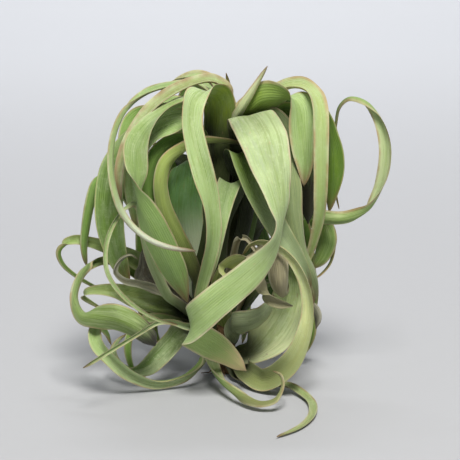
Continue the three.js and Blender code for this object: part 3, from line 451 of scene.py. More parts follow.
def leaf_frames(rows):
    """Frames along a leaf, closer where it bends: place, ways across and out, width and length so far."""
    across = Vector(rows[0][4:7])
    turned = []
    for row in rows:
        wanted = Vector(row[4:7]) if len(row) > 4 else across
        across = -wanted if wanted.dot(across) < 0 else wanted
        turned.append([*row[:4], *across])
    knots = knots_of(turned)
    fine = [along(turned, knots, i / FINE) for i in range(FINE + 1)]
    spots = [Vector(row[:3]) for row in fine]
    ways = [(spots[min(FINE, i + 1)] - spots[max(0, i - 1)]).normalized() for i in range(FINE + 1)]
    measure, length = [0.0], [0.0]
    for i in range(1, FINE + 1):
        step = (spots[i] - spots[i - 1]).length
        length.append(length[-1] + step)
        measure.append(measure[-1] + step / LEAF_STEP + ways[i].angle(ways[i - 1]) / LEAF_TURN)
    count = math.ceil(measure[-1])
    frames, i = [], 0
    for step in range(count + 1):
        wanted = measure[-1] * step / count
        while i < FINE - 1 and measure[i + 1] < wanted:
            i += 1
        share = (wanted - measure[i]) / (measure[i + 1] - measure[i])
        way = ways[i].lerp(ways[i + 1], share).normalized()
        row = [a + (b - a) * share for a, b in zip(fine[i], fine[i + 1])]
        side = Vector(row[4:7])
        side = (side - way * side.dot(way)).normalized()
        far = length[i] + (length[i + 1] - length[i]) * share
        frames.append((Vector(row[:3]), side, side.cross(way), row[3], far))
    return frames, length[-1]


def rise(value, low, high):
    """0 at low, 1 at high, and a straight rise between them."""
    return max(0.0, min(1.0, (value - low) / (high - low)))


def sheltered(at, top):
    """How much painted shade a point gets: 1 deep among the leaf bases round the stem, and 0 outside them.
    Upper faces look in on the stem.
    """
    right = at.x - bundle_middle(at.z)
    shade = rise(math.hypot(right, at.y), *HEART_SHADE)
    if top == 1:
        inner = rise(math.hypot(right, at.y - INNER_SHADE_BACK), *INNER_SHADE)
        shade = max(shade, inner * rise(at.z, *SHADE_START))
    return shade * rise(at.z, *SHADE_END)


def leaf_mesh(name, rows, channel, seed, wave, crease, crumple):
    """A closed thin blade: a channelled upper face and underside that meet in a thin rim."""
    draw = random.Random(seed)
    phase = [draw.uniform(0, 2 * math.pi) for _ in range(8)]
    frames, length = leaf_frames(rows)
    points, skin = [], []
    for spot, across, face, width, far in frames:
        left = length - far
        width *= 1 - 0.75 * max(0.0, 1 - left / TIP_ROUND) ** 2
        width *= 1 + 0.6 * wave * math.sin(far / SWELL + phase[6])
        stir = min(1.0, far / STIFF_START) * width * wave
        ripple = [
            stir * (math.sin(far / RIPPLES[0] + phase[s]) + 0.6 * math.sin(far / RIPPLES[1] + phase[s + 2]))
            for s in (0, 1)
        ]
        gutter = channel + NARROW_FOLD * max(0.0, 1 - width / NARROW)
        thick = MIDRIB_THICKNESS * (0.45 + 0.55 * min(1.0, left / THIN_END)) * min(1.0, width / 4)
        for top in (1, -1):
            for c in COLUMNS if top == 1 else COLUMNS[-2:0:-1]:
                edge = ripple[0] if c < 0 else ripple[1]
                lift = gutter * width * (c * c - 0.5) + edge * abs(c) ** 3
                lift -= crease * width * (1 - abs(c)) ** 2
                dent = math.sin(4.2 * c + far / DENTS[0] + phase[4]) * math.sin(far / DENTS[1] + phase[5])
                lift += crumple * width * dent
                half = (RIM_THICKNESS + (thick - RIM_THICKNESS) * (1 - c * c)) / 2 if abs(c) < 1 else 0
                at = spot + across * (c * width / 2) + face * (lift + top * half)
                at.z = max(at.z, LOWEST + (half if top == 1 else 0))
                side = top if abs(c) < 1 else 0
                points.append(at)
                skin.append((far / length, c, side, far, (1 - abs(c)) * width / 2, sheltered(at, top)))
    faces = tube_faces(len(frames) - 1, 2 * len(COLUMNS) - 2)
    return linked(name, points, faces, dict(zip(SKIN_READINGS, zip(*skin))))


def leaf_material(name, look, seed):
    """Leaf skin: frosted above, greener below, streaked lengthwise, with a worn rim and a dry tip."""
    material, start = new_material(name)

    def read(key):
        return start.node("ShaderNodeAttribute", {"attribute_name": key}, {}, output=2)

    share, across, side, far, inset, shelter = map(read, SKIN_READINGS)
    edge = abs(across)
    skin = start.node("ShaderNodeTexCoord", {}, {}, output=3)

    def lengthwise(across_scale, along_scale, offset):
        spot = {"X": across * across_scale, "Y": far * along_scale, "Z": side * 2 + (seed + offset)}
        return start.node("ShaderNodeCombineXYZ", {}, spot)

    # The noise of the skin, drawn out along the blade, and the grain of its scales
    streak = lengthwise(3.5, 0.035, 0).noise(2.2, detail=4, roughness=0.6)
    line = lengthwise(13, 0.05, 20).noise(2, detail=3)
    patch = lengthwise(1.2, 0.06, 40).noise(1.6, detail=2)
    frost = skin.noise(4200, detail=2)
    vein = (across * look["veins"] + streak * 2.5).sine() * 0.5 + 0.5

    # The green of the two faces, with painted shade down the middle of the channel
    streaked = (streak * 0.55 + line * 0.3 + patch * 0.45).between(0.4, 0.82)
    upper = streaked.tint(look["upper"], look["streak"])
    under = streaked.tint(look["under"], look["shade"])
    facing = side.between(-0.4, 0.4)
    body = facing.tint(under, upper)
    # Painted shade: darker along the middle of the channel, where the curved blade is shaded
    groove = (edge + (line - 0.5) * 0.2).between(0.5, 0)
    body = (groove * look["groove"]).tint(body, look["shade"])

    # The frost, in clouds and freckles, with dark threads between them
    cloud = (patch * 0.7 + frost * 0.25 + line * 0.3).between(0.5, 0.78)
    body = (cloud * (0.25 + 0.75 * facing) * look["frost"]).tint(body, look["bloom"])
    thread = lengthwise(4.2, 0.02, 100).noise(2.4, detail=2).between(0.54, 0.66)
    body = (thread * look["thread"]).tint(body, look["shade"])
    freckle = skin.noise(650, detail=3).between(0.52, 0.68)
    body = (freckle * (0.1 + 0.4 * facing) * look["frost"]).tint(body, look["bloom"])
    body = (share.between(*look["end_span"]) * look["end_share"]).tint(body, look["end"])

    # The painted highlight on the flanks, the worn rim, and the painted shade deep in the rosette
    # Painted highlight: paler towards the edges of the upper face
    flank = (edge + (streak - 0.5) * 0.15).between(0.6, 0.9)
    body = (flank * facing * look["flank"]).tint(body, look["bloom"])
    worn_edge = (inset + (patch - 0.5) * 0.7).between(look["rim_width"], 0.1)
    worn = lengthwise(0.3, 0.09, 60).noise(1.7, detail=3).between(0.3, 0.65)
    rim = (0.3 + 0.7 * worn).tint(look["bloom"], look["rim"])
    body = (worn_edge * look["rim_share"]).tint(body, rim)
    # Painted shade: deep in the rosette and over the hidden start of a leaf, the colour goes over to the
    # base colour, a dark olive for most kinds and a real tan base for the right loop
    buried = share.between(*look["buried"])
    body = (shelter * look["shelter"] + buried).tint(body, look["base"])

    # Brown spots and the dried tip
    spot = lengthwise(2.6, 0.11, 80).noise(1.8, detail=3)
    body = (spot.between(0.66, 0.74) * look["spots"]).tint(body, look["tip"])
    withered = share + (streak - 0.5) * 0.1 + edge * 0.02
    dried = withered.between(look["dry_from"], look["dry_from"] + 0.09)
    values = {
        "Base Color": dried.tint(body, look["tip"]),
        "Roughness": 0.6 + 0.15 * frost + 0.12 * dried,
        "Subsurface Weight": look["glow"],
        "Subsurface Radius": (0.7, 1.0, 0.25),
        "Subsurface Scale": 1.2 * MM,
        "Sheen Weight": 0.08,
        "Sheen Roughness": 0.5,
        "Specular IOR Level": 0.35,
    }
    relief = vein * 0.5 + streak * 0.9 + line * 0.6 + frost * 0.2
    finish_material(start, values, relief, look["relief"] * MM)
    return material


# The skin of a leaf where its kind or the leaf itself says nothing else
LEAF_SKIN = dict(
    wave=0.025, crease=0.05, crumple=0, veins=44, frost=0.3, bloom="d1ddb0", rim_width=0.65,
    rim_share=0.7, groove=0.4, flank=0.12, spots=0.25, shelter=0.92, thread=0.3, end="8fae5c",
    end_share=0, end_span=(0.4, 0.85), buried=(0.02, 0.01), dry_from=0.94, glow=0.1, relief=0.17,
    tip="8b6b48",
)
GREENS = "upper", "streak", "under", "shade"


def shifted(tint, warmth):
    """A colour turned a little towards yellow, or towards blue where warmth is negative."""
    red, green, blue, alpha = tint
    return red * (1 + 0.06 * warmth), green, blue * (1 - 0.12 * warmth), alpha


def grow(node, kind, channel, start, drawn, laid=(), **own):
    """One leaf, from its hidden start through the drawn stations and any laid on the surface."""
    slot, look = kind
    rows = [*start, *map(place, drawn), *map(list, laid)]
    draw = random.Random(node)
    warmth = draw.uniform(-1, 1)
    look = LEAF_SKIN | look | own
    look = {key: colour(value) if isinstance(value, str) else value for key, value in look.items()}
    look |= {key: shifted(look[key], warmth) for key in GREENS}
    form = look["wave"], look["crease"], look["crumple"]
    blade = leaf_mesh(node.replace("leaf", "blade"), rows, channel, node, *form)
    blade.data.materials.append(leaf_material(f"skin_{node}", look, draw.uniform(0, 30)))
    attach(blade, "root")
    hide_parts(node)


YELLOW = "leaf_yellow", dict(
    upper="adc064", streak="8aa340", under="90a644", shade="6a8232", base="343510", rim="c39a78",
    frost=0.25,
)
grow("leaf_inner_arch", YELLOW, 0.2, from_stem(-155, 26, 5, 7), [
    (-12, 37.6, -9, 7, 0.5, -0.6, 0.3), (-16, 47.2, -15, 7.6, 0.8, -0.4, 0.4),
    (-21.6, 58.4, -20, 7, 0.85, -0.2, 0.45), (-25.2, 68.4, -23, 6.2, 1, 0.1, 0.2),
    (-26, 77.6, -24, 5.8, 1, 0.2, -0.1), (-24, 84.4, -23, 5.8, 0.8, 0.2, -0.55),
    (-17.6, 90, -21, 5.8, 0.3, 0.6, -0.75), (-8.4, 93.6, -18, 6, 0, 1, -0.3),
    (1.6, 93.2, -15, 4.6, 0, 1, -0.2), (9, 91.6, -12, 1.2),
], under="acc06e", shade="8ca050")
grow("leaf_right_wire", YELLOW, 0.2, from_stem(48, 18, 6, 5), [
    (21.6, 51.6, 28, 4, 0.5, -0.8, 0.2), (35.6, 60.4, 24, 3.4, 0.4, -0.8, 0.5),
    (42.4, 57.6, 18, 2.8, 0.3, -0.9, 0.2), (43.2, 50.8, 14, 2.2, 0.2, -1, 0), (41.6, 44.4, 11, 1.8),
    (38, 40, 9, 1.4), (34.4, 37.6, 7, 1),
], upper="7f9440", under="6f8636", shade="566c28")
grow("leaf_rolled", YELLOW, 0.32, from_stem(176, 12.6, 6, 5), [
    (-20.4, 26.4, 8, 5.4, 0, 0.6, 0.8), (-34, 38, 10, 4.6, 0.1, 0.6, 0.8),
    (-46.4, 45, 2, 3.6, 0.2, 0.7, 0.6), (-54.4, 43.4, -10, 3.2, 0.4, 0.8, 0.2),
    (-59.2, 37, -22, 3.2, 0.7, 0.7, 0), (-60.6, 29.6, -30, 3.6, 0.7, 0.6, 0.3),
    (-57.6, 23, -35, 5.4, 0.5, 0.5, 0.7), (-51.2, 22.8, -38, 9, 0.3, 0.2, 0.95),
    (-44.4, 22.4, -39, 10.4, 0.35, 0, 0.95), (-36.8, 19.2, -38, 9.4, 0.5, 0, 0.85),
    (-31.2, 14.8, -36, 7.4, 0.6, 0, 0.8), (-28.4, 11.4, -34, 5, 0.7, 0, 0.7),
], dry_from=0.9, tip="3d3a33", upper="bac68a", under="a6b47c", spots=0.7)
grow("leaf_young_spike", YELLOW, 0.3, rising(-80, 3, 88, 4.5), [
    (3, 100, -8, 4, 0.8, 0, -0.5), (5.8, 106, -11.5, 3.8), (9.4, 111.6, -13, 3.2),
    (13.1, 117.6, -13.5, 2), (16.6, 123.2, -13, 1),
], under="dfe8bc", shade="c4d098", crease=0.15)
grow("leaf_young_tip", YELLOW, 0.3, rising(60, 2.6, 92, 4), [
    (2.6, 106.4, 6, 3.6, 0.8, 0.6, 0), (1.2, 112.8, 6.5, 2.6), (0, 120.4, 5, 1),
])
grow("leaf_yellow_arch", YELLOW, 0.2, from_stem(-60, 20, 5, 7), [
    (-2.8, 29.6, -13, 8, 0.8, -0.5, 0.2), (-1.6, 36, -20, 9, 0.6, -0.6, 0.5),
    (1.2, 42.4, -25, 9, 0.3, -0.6, 0.8), (6.4, 44.8, -29, 8.6, 0, -0.5, 0.9),
    (11.6, 42.4, -33, 8, -0.3, -0.4, 0.85), (14, 36.8, -35, 7, -0.6, -0.3, 0.6),
    (16.4, 31.2, -36, 5.6, -0.3, -0.3, 0.9), (21.2, 28.4, -37, 4.2, -0.1, -0.3, 0.95),
    (26.8, 27.2, -37, 1.6, 0, -0.3, 1),
], upper="d2d88a", streak="b4bc68", shelter=0.3, dry_from=0.6, tip="8c8868", under="b4b860")


# The deep green leaves. They stand in the shade of the others, and their darker greens are partly their
# own green under thin frost and partly painted shade. The largest is the broad one at the left, and the
# spoon-like one is bluish.
DEEP = "leaf_deep", dict(
    upper="7c9c55", streak="587a38", under="587a24", shade="3c5a1a", base="20280c", rim="a79a62",
    frost=0.15, rim_width=0.5,
)
grow("leaf_inner_left", DEEP, 0.2, from_stem(-172, 32, 5, 6), [
    (-15, 46, -11, 6.5, 0.5, -0.6, 0.3), (-23.6, 56.4, -15.5, 7, 0.85, -0.2, 0.45),
    (-29.6, 67.2, -18.5, 7, 1, 0.1, 0.2), (-31.2, 77.6, -19.5, 6.8, 1, 0.2, -0.1),
    (-28.4, 86.8, -18.5, 6.4, 0.8, 0.2, -0.55), (-21.2, 93.2, -16.5, 6, 0.3, 0.6, -0.75),
    (-12.4, 95.2, -14, 4.5, 0, 1, -0.3), (-6, 94.4, -12, 1, 0, 1, -0.2),
], upper="8fb056", under="7fa048", shade="5f8030")
grow("leaf_inner_spoon", DEEP, 0.12, from_stem(-126, 24, 5, 7), [
    (-11.6, 36.4, -6, 10, 1, 0.1, 0), (-13.6, 45.6, -9, 12), (-15.6, 55.6, -12, 14),
    (-16.8, 66.4, -14, 15, 1, 0.15, 0), (-16, 76, -14, 15), (-15.2, 82, -11, 12, 1, 0.1, 0),
    (-14.8, 84.6, -7, 6, 1, 0, 0), (-14.6, 84.8, -4.5, 1.5),
],
    upper="b0cd98", streak="82aa6a", shade="5f8a4c", frost=0.3, end="dde9c6", end_share=0.85,
    end_span=(0.75, 0.45), shelter=0.1,
)
grow("leaf_shadow_strap", DEEP, 0.16, rising(-45, 10.5, 76, 9), [
    (3.6, 87.6, -13, 9, 1, 0.2, 0), (5.6, 89, -18.5, 9, 1, 0.2, 0.1),
    (8.4, 83.2, -23, 9.5, 0.9, 0.1, 0.3), (12.4, 73.6, -26, 9.5, 0.9, 0.1, 0.4),
    (17.2, 64.4, -29, 9, 0.85, 0.1, 0.45), (22, 56.4, -30, 8, 0.8, 0.1, 0.5),
    (27.2, 48.4, -29, 6.5, 0.8, 0.2, 0.5), (31.6, 40.8, -26, 4, 0.85, 0.2, 0.4), (34, 34.4, -22, 1),
],
    upper="86a246", streak="6a8632", under="789836", frost=0.1, shelter=0.4, buried=(0.6, 0.48),
    end="a8b88c", end_share=0.8, end_span=(0.62, 0.82),
)
# The near-black tip of this leaf, set with the dry tip colour, is painted shade for the dark gap behind the
# right crown and strap
grow("leaf_right_inner", DEEP, 0.2, rising(-20, 11.5, 82, 7), [
    (19.6, 102, -4, 8.5, 0.3, -0.85, 0.35), (25, 104.4, -8, 10, 0.5, -0.75, 0.3),
    (28.4, 97.2, -10, 9, 0.9, -0.3, 0), (31.2, 86.4, -10, 9.4, 1, -0.1, 0),
    (32.8, 75.6, -7, 8.4, 1, 0.1, 0), (33, 66.4, -4, 6), (32.8, 60, -2, 1),
], upper="86a044", under="7c9438", shelter=0.3, dry_from=0.8, tip="34331f")
grow("leaf_right_shadow", DEEP, 0.16, rising(44, 11.5, 84, 8), [
    (19.6, 106.4, 12, 8, 0.3, -0.9, 0), (31.6, 110.8, 9, 7, 0.2, -1, 0.2),
    (38.4, 107.6, 6, 6, 0.1, -1, 0), (41.6, 102.4, 4, 6), (42.8, 94.8, 2, 7.5, 0.4, -0.9, 0),
    (43.2, 87.2, 0, 8, 0.8, -0.5, 0), (42.8, 79.2, -1, 8, 0.9, -0.3, 0), (42, 70.8, -1, 4.5),
    (41.2, 64.4, 0, 1),
], upper="6c8e28", under="60801e", shade="4a6a16")
grow("leaf_left_broad", DEEP, 0.16, rising(-168, 11, 76, 9), [
    (-15.2, 102.4, -2, 10, -0.1, 1, 0.1), (-29.6, 100.8, -4, 11, -0.2, 1, 0.2),
    (-39.6, 92.4, -7, 11, -0.5, 0.8, 0.1), (-44.8, 82, -11, 11, -0.9, 0.3, 0),
    (-46.8, 70.4, -14, 11, -1, 0, 0), (-46.4, 59.2, -16, 11, -1, -0.2, 0),
    (-44.4, 49.6, -16, 9, -1, -0.2, -0.1), (-41.6, 41.6, -15, 6, -0.9, -0.3, -0.2),
    (-38.4, 35.6, -14, 1),
], upper="7a9a4e", streak="587c30", frost=0.2)


# The pale broad leaves. They are the oldest whole ones, thickly frosted on the side that faced the
# sun, with pinkish brown rims. The widest sweeps down the front, turns over and runs to the left.
PALE = "leaf_pale", dict(
    upper="c2d2a2", streak="9fb673", under="8daa50", shade="6b8a36", base="2c3211", rim="b08c70",
    frost=0.45, end_share=0.5, thread=0.42,
)
grow("leaf_front_sweep", PALE, -0.05, rising(-60, 7.5, 86), [
    (9, 103, -14, 17.5, 1, 0, 0.2), (14.2, 96.2, -25, 19, 1, 0, 0.12),
    (17.2, 86.8, -33, 16.5, 1, 0.1, 0.05), (19.6, 77.2, -37, 14, 1, 0.45, 0),
    (21.2, 68.8, -39, 12, 0.8, 0.75, 0), (21.6, 60.8, -40, 11, 0.35, 0.95, 0),
    (20.2, 53.6, -42, 11, 0.3, 0.95, -0.2), (16, 46.4, -44, 11.5, 0.6, 0.65, -0.5),
    (8.4, 38.8, -47, 12, 0.6, 0.2, -0.85), (-1.6, 30.8, -49, 12.5, 0.55, 0, -0.85),
    (-9.2, 24.4, -48, 13, 0.35, 0, -0.95), (-13.6, 20, -43, 13, 0.05, 0.1, -1),
    (-13.2, 16.4, -37, 12.5, -0.3, 0.2, -1), (-4, 10.6, -33, 11.5, -0.62, 0, -0.78),
    (1.2, 7, -31.5, 8.5, -0.7, 0, -0.7), (5.2, 3.6, -31, 5), (8.2, 1.2, -31, 1.2),
],
    dry_from=0.93, tip="b8a57c", crease=0.03, spots=0.4, thread=0.5, upper="b2be9a", rim="c4a48e",
    rim_width=1.1, under="aeb882", end_share=0.6, shade="8a9a5c",
)
grow("leaf_front_strap", PALE, 0.16, rising(-128, 7.5, 84, 12), [
    (-2.6, 107, -10, 12.6, 1, 0.1, 0), (-4.8, 113.4, -17, 11.6, 1, 0.2, 0),
    (-9.4, 114, -27, 9.6, 1, 0.25, 0.1), (-12.8, 108.8, -35, 8.5, 1, 0.3, 0),
    (-13.6, 100.8, -39, 8, 1, 0.2, 0), (-12, 91.2, -42, 8.4, 1, 0.1, -0.1),
    (-8.8, 79.2, -44, 8.4, 1, 0.05, -0.2), (-6, 67.6, -44, 7, 1, 0.5, -0.1),
    (-5.2, 55.6, -42, 6.5, 1, 0.6, 0), (-7.2, 44.8, -38, 6, 1, 0.3, 0.2),
    (-9.6, 36, -34, 5, 1, 0.2, 0.2), (-11.2, 29.2, -31, 3, 1, 0, 0), (-11.6, 24.4, -28, 1),
], under="8ba02c", shade="68801c", crease=0.1, rim="b8896c", base="222a0c")
grow("leaf_left_sash", PALE, 0.14, rising(-150, 9, 86, 8), [
    (-6, 105, -6, 10, -0.4, 0.9, 0), (-12, 110, -9, 9.5, -0.3, 0.95, 0),
    (-21.2, 107.6, -17, 10, -0.5, 0.85, -0.1), (-30.2, 101.4, -26, 9.6, -0.8, 0.5, -0.3),
    (-35.8, 91.6, -32, 9.6, -1, 0.1, -0.1), (-35.9, 82.4, -35, 8.8, -0.9, -0.4, 0),
    (-35.2, 74.4, -38, 8.6, -0.1, -1, 0), (-33.2, 67.6, -40, 9.6, 0.65, -0.6, 0.3),
    (-29, 58.4, -41, 11, 0.85, -0.1, 0.5), (-24.4, 48.8, -39, 11, 0.85, 0, 0.5),
    (-19.6, 38.8, -35, 9, 0.9, 0, 0.4), (-15.2, 28.4, -30, 1.2),
], upper="9cb474", streak="7c9850", under="7f9a54", shade="5f7c3a", end="7a9654")
grow("leaf_crown_right", PALE, 0.22, rising(-10, 6, 86, 9), [
    (7, 103.6, -4, 9, 0.4, -0.5, 0.7), (11, 107.4, -7, 11, 0.2, -0.4, 0.9),
    (15, 110.4, -9.5, 12.6, 0, -0.3, 0.95), (20, 112, -12, 12.6, -0.15, -0.5, 0.75),
    (24.4, 112.6, -14, 12, -0.4, -0.75, 0.4), (28.2, 111.2, -16, 11, -0.7, -0.7, 0.15),
    (30.2, 106.8, -18, 10.6, -0.9, -0.35, 0.05), (30.4, 98.8, -20, 10.2, -1, 0, 0),
    (31, 90, -21, 9.2, -1, 0.1, 0), (31.6, 82.4, -20.5, 6, -0.95, 0.2, 0), (31.2, 75, -19, 1),
], under="8ba02c", shade="68801c", crease=0.1, rim="b8896c", groove=0.55, rim_width=1.5, upper="cfe0ae")
grow("leaf_right_strap", PALE, 0.2, rising(14, 8, 84, 7), [
    (16, 110.4, 3, 8, 0, -1, -0.1), (22.8, 115, 0, 8, 0, -1, -0.3),
    (29.2, 116, -5, 7.5, -0.1, -1, -0.35), (34.6, 113.2, -14, 7, -0.6, -0.85, -0.15),
    (37.2, 107.6, -22, 6.4, -0.9, -0.4, 0), (38, 97.6, -27, 6, -1, -0.1, 0),
    (38, 85.6, -29, 5.8, -1, 0, 0), (38, 73.6, -29, 5.4, -1, 0.2, 0),
    (37.6, 63.6, -27, 4.8, -0.9, 0.5, 0), (35.6, 54.4, -23, 4, -0.8, 0.6, 0.1),
    (33.2, 46.4, -19, 2.6, -0.9, 0.4, 0), (32, 40.8, -16, 1),
], rim="b8896c", rim_width=1.6, under="c0c888", shade="a4ae66")
grow("leaf_right_loop", PALE, 0.25, from_stem(15, 22, 6, 7), [
    (11.6, 42.4, 10, 7, 0, -1, 0.3), (23.6, 56.8, 12, 6.5, 0, -0.8, 0.6),
    (31.6, 64.4, 6, 6.6, 0.1, -0.4, 0.9), (39.6, 62.4, 0, 6.2, 0, -0.2, 1),
    (48.4, 62.4, -4, 5.6, 0.1, -0.4, 1), (55.6, 66, -6, 5, 0.3, -0.6, 0.7),
    (60.8, 73.6, -7, 4.6, 0.6, -0.7, 0.4), (63.6, 83.6, -8, 5.2, 0.9, -0.4, 0),
    (63.6, 93.6, -8, 5, 0.9, -0.4, -0.1), (60.4, 102.8, -8, 4, 0.8, -0.5, -0.2),
    (55.2, 108.4, -8, 3.4, 0.3, -0.9, -0.2), (49.6, 110, -5, 2.6, 0, -1, 0),
    (45.6, 106.8, -1, 2.2, -0.1, -1, 0), (44, 99.6, 3, 1.8, 0, -1, 0),
    (43.2, 89.6, 7, 1.6, 0.3, -0.9, 0), (43.2, 79.6, 9, 1.4), (44, 71.6, 9, 1.2), (45.2, 66, 8, 1),
], upper="d6dfb4", streak="bdca94", rim="a87860", rim_width=0.9, base="ac9878", under="bccc90")
grow("leaf_cup", PALE, 0.3, from_stem(-50, 10, 6, 7, 0), [
    (7.2, 8.4, -8, 10, -0.2, -0.8, -0.5), (13.6, 11.6, -16, 14, 0.3, -0.45, -0.85),
    (20, 17.6, -20, 17, 0.85, -0.3, -0.4), (24.8, 26.8, -21, 15, 0.95, -0.3, -0.1),
    (26.4, 36.4, -18, 12, 1, -0.2, 0.1), (24.8, 44.8, -14, 8, 1, -0.1, 0.2), (21.6, 50.4, -10, 1.2),
], upper="dfe6b8", streak="bcc88c", frost=0.75, spots=0.5, thread=0.25)
grow("leaf_low_loop_left", PALE, 0.25, from_stem(-122, 7.5, 6, 5, -0.5), [
    (-8.4, 8, -16, 4.4, 0.6, 0.7, 0), (-10.4, 3.6, -20, 4.4, 0, 0.9, -0.4),
    (-16.8, -1.6, -24, 4.2, -0.1, 0.6, -0.8), (-27.2, -4, -28, 4.6, -0.2, 0.5, -0.85),
    (-38, -0.4, -34, 5.2, -0.3, 0.4, -0.85), (-46, 6, -38, 5.8, -0.6, 0.3, -0.7),
    (-51.4, 12, -38, 5.6, -0.9, 0.1, -0.4), (-52.6, 16.6, -35, 5, -0.95, -0.3, 0),
    (-50.8, 19.4, -30, 3.6, -0.7, -0.7, 0.1), (-47.6, 16.4, -25, 2.4, -0.5, -0.8, 0),
    (-45.8, 11.6, -23, 1),
])
grow("leaf_back_left", PALE, 0.16, rising(150, 11, 82, 8), [
    (-16.4, 108, 12, 9, 0.2, 1, 0.1), (-28.8, 107.6, 13, 9, 0.3, 0.9, 0.2),
    (-36.8, 100.8, 8, 9, 0.7, 0.7, 0.1), (-39.2, 92.4, 3, 8, 0.9, 0.4, 0), (-39.2, 82.4, 1, 5),
    (-38.4, 73.6, 2, 1),
], upper="98b070", streak="76904c", under="6c8c44")
grow("leaf_straight_blade", PALE, 0.2, from_stem(-128, 15, 6, 5, 1), [
    (-12, 18.4, -16, 3.6, 0.3, 0.5, 0.7), (-16.8, 19.2, -26, 2.8, 0.2, 0.4, 0.9),
    (-22.4, 20.8, -35, 2.2), (-27.6, 20.4, -42, 2, 0.3, 0.3, 0.85),
    (-35.2, 16, -48, 1.8, 0.5, 0.2, 0.8), (-44.4, 10.4, -53, 1.7), (-52, 5.6, -56, 1.5),
    (-57.2, 2.4, -58, 1),
])


# The green leaves. They are narrower and less frosted than the pale ones, and make the arches, hooks
# and open loops round the rosette. The long thin one at the front hung free and lies on the surface.
GREEN = "leaf_green", dict(
    upper="a8bc78", streak="82a050", under="80a042", shade="5d7f2c", base="282f10", rim="a88c6c",
    frost=0.35, thread=0.38,
)
grow("leaf_left_inner", GREEN, 0.18, rising(-135, 12.5, 72, 7), [
    (-10, 98, -12, 7.4, -0.4, 0.8, 0.4), (-15.6, 102, -15, 9, -0.3, 0.8, 0.6),
    (-22.4, 100.4, -18, 11, -0.3, 0.6, 0.7), (-29.6, 96, -21, 9.5, -0.5, 0.6, 0.5),
    (-34.6, 89.2, -23, 7.4, -0.9, 0.4, 0.1), (-36.8, 80.4, -21.5, 7, -0.9, 0.3, 0),
    (-37.2, 72, -19.5, 6), (-36.6, 64.4, -17, 4), (-36, 58, -15.5, 1),
])
grow("leaf_rim_left", GREEN, 0.2, rising(178, 4.5, 88, 6), [
    (0.8, 107, -1, 6, 0.2, 1, 0.2), (1.2, 113.6, -2, 5.8, 0.1, 1, 0.4),
    (-4.8, 117.8, -3, 5.8, -0.1, 1, 0.5), (-12, 117.2, -5, 5.6, -0.2, 1, 0.5),
    (-20, 113.8, -9, 5.4, -0.3, 0.9, 0.6), (-27.6, 108.8, -14, 5.2, -0.4, 0.8, 0.5),
    (-34, 102, -19, 5.4, -0.5, 0.8, 0.4), (-38.4, 94.4, -22, 5, -0.8, 0.6, 0.1),
    (-41.6, 85.6, -24, 4.4, -0.9, 0.5, 0), (-42.8, 76.8, -24, 3.2, -1, 0.3, 0), (-42, 69.6, -22, 1),
], under="a08658", shade="857048", rim="a88a6c", rim_width=2.4, rim_share=0.85)
grow("leaf_thin_bow", GREEN, 0.2, rising(158, 9, 88, 5), [
    (-6, 110, 6.5, 4.6, 0, 1, 0), (-12, 116, 7, 4.4, 0, 1, 0.2), (-22.4, 115.6, 3, 4, 0.1, 1, 0.3),
    (-32.4, 112.4, -6, 3.6, 0.2, 0.9, 0.3), (-40.4, 105.6, -15, 3.2, 0.4, 0.8, 0.3),
    (-44.8, 95.6, -22, 3, 0.6, 0.7, 0), (-46, 84.8, -29, 2.8, 0.7, 0.6, 0),
    (-44.8, 74.4, -37, 2.8, 0.7, 0.5, 0), (-41.6, 64.8, -44, 2.6, 0.6, 0.3, 0.5),
    (-36.4, 58, -49, 2.4, 0.4, 0.2, 0.8), (-29.6, 53.2, -52, 2.2, 0.2, 0.2, 0.9),
    (-21.6, 50.4, -53, 2, 0.1, 0.2, 1), (-12, 49.2, -52, 1),
], under="a9b878", shade="8a9c58", end="e4ead2", end_share=0.85, end_span=(0.78, 0.95))
grow("leaf_inner_blunt", GREEN, 0.14, rising(-96, 11, 66, 8), [
    (4, 74.4, -15, 8.5, 1, 0.15, 0), (2, 77.2, -20, 9, 1, 0.15, 0.05),
    (-0.6, 70.4, -25, 8, 1, 0.1, 0.1), (-3, 59.2, -28, 6.4, 1, 0.15, 0.2),
    (-5, 47.6, -28, 5, 1, 0.2, 0.2), (-6.4, 36.8, -26, 1),
])
grow("leaf_right_apron", GREEN, 0.16, rising(-32, 9, 84, 8), [
    (13.6, 103.6, -3, 6.5, 0.1, -1, 0), (20.4, 104, -8, 8, 0.1, -1, 0.3),
    (25, 93, -14, 9, 0.85, -0.5, 0.1), (24.6, 83.6, -18.5, 9, 1, 0.1, 0.1), (25.6, 73.6, -22.5, 9.8),
    (26.2, 64, -24, 9, 1, 0.15, 0.1), (29.4, 49.6, -22, 7, 0.9, 0.4, 0.3),
    (34, 41.2, -20, 5.5, 0.7, 0.7, 0.2), (36, 34, -15, 4, 0.6, 0.8, 0), (35.2, 28, -11, 1),
], upper="a3b48a", under="9aaa78", shade="73865a")
grow("leaf_right_low", GREEN, 0.2, from_stem(35, 20, 6, 7), [
    (14.4, 47.6, 22, 8, 0.3, -0.8, 0.3), (27.6, 60.8, 22, 8.5, 0.4, -0.6, 0.6),
    (36.8, 60.8, 15, 8.5, 0.6, -0.5, 0.5), (40, 54.4, 10, 8.5, 0.9, -0.3, 0.2),
    (38, 47.2, 8, 7, 0.8, -0.2, 0.5), (34, 41.6, 8, 1),
], upper="b4c28e", streak="92a468", under="98ac6c")
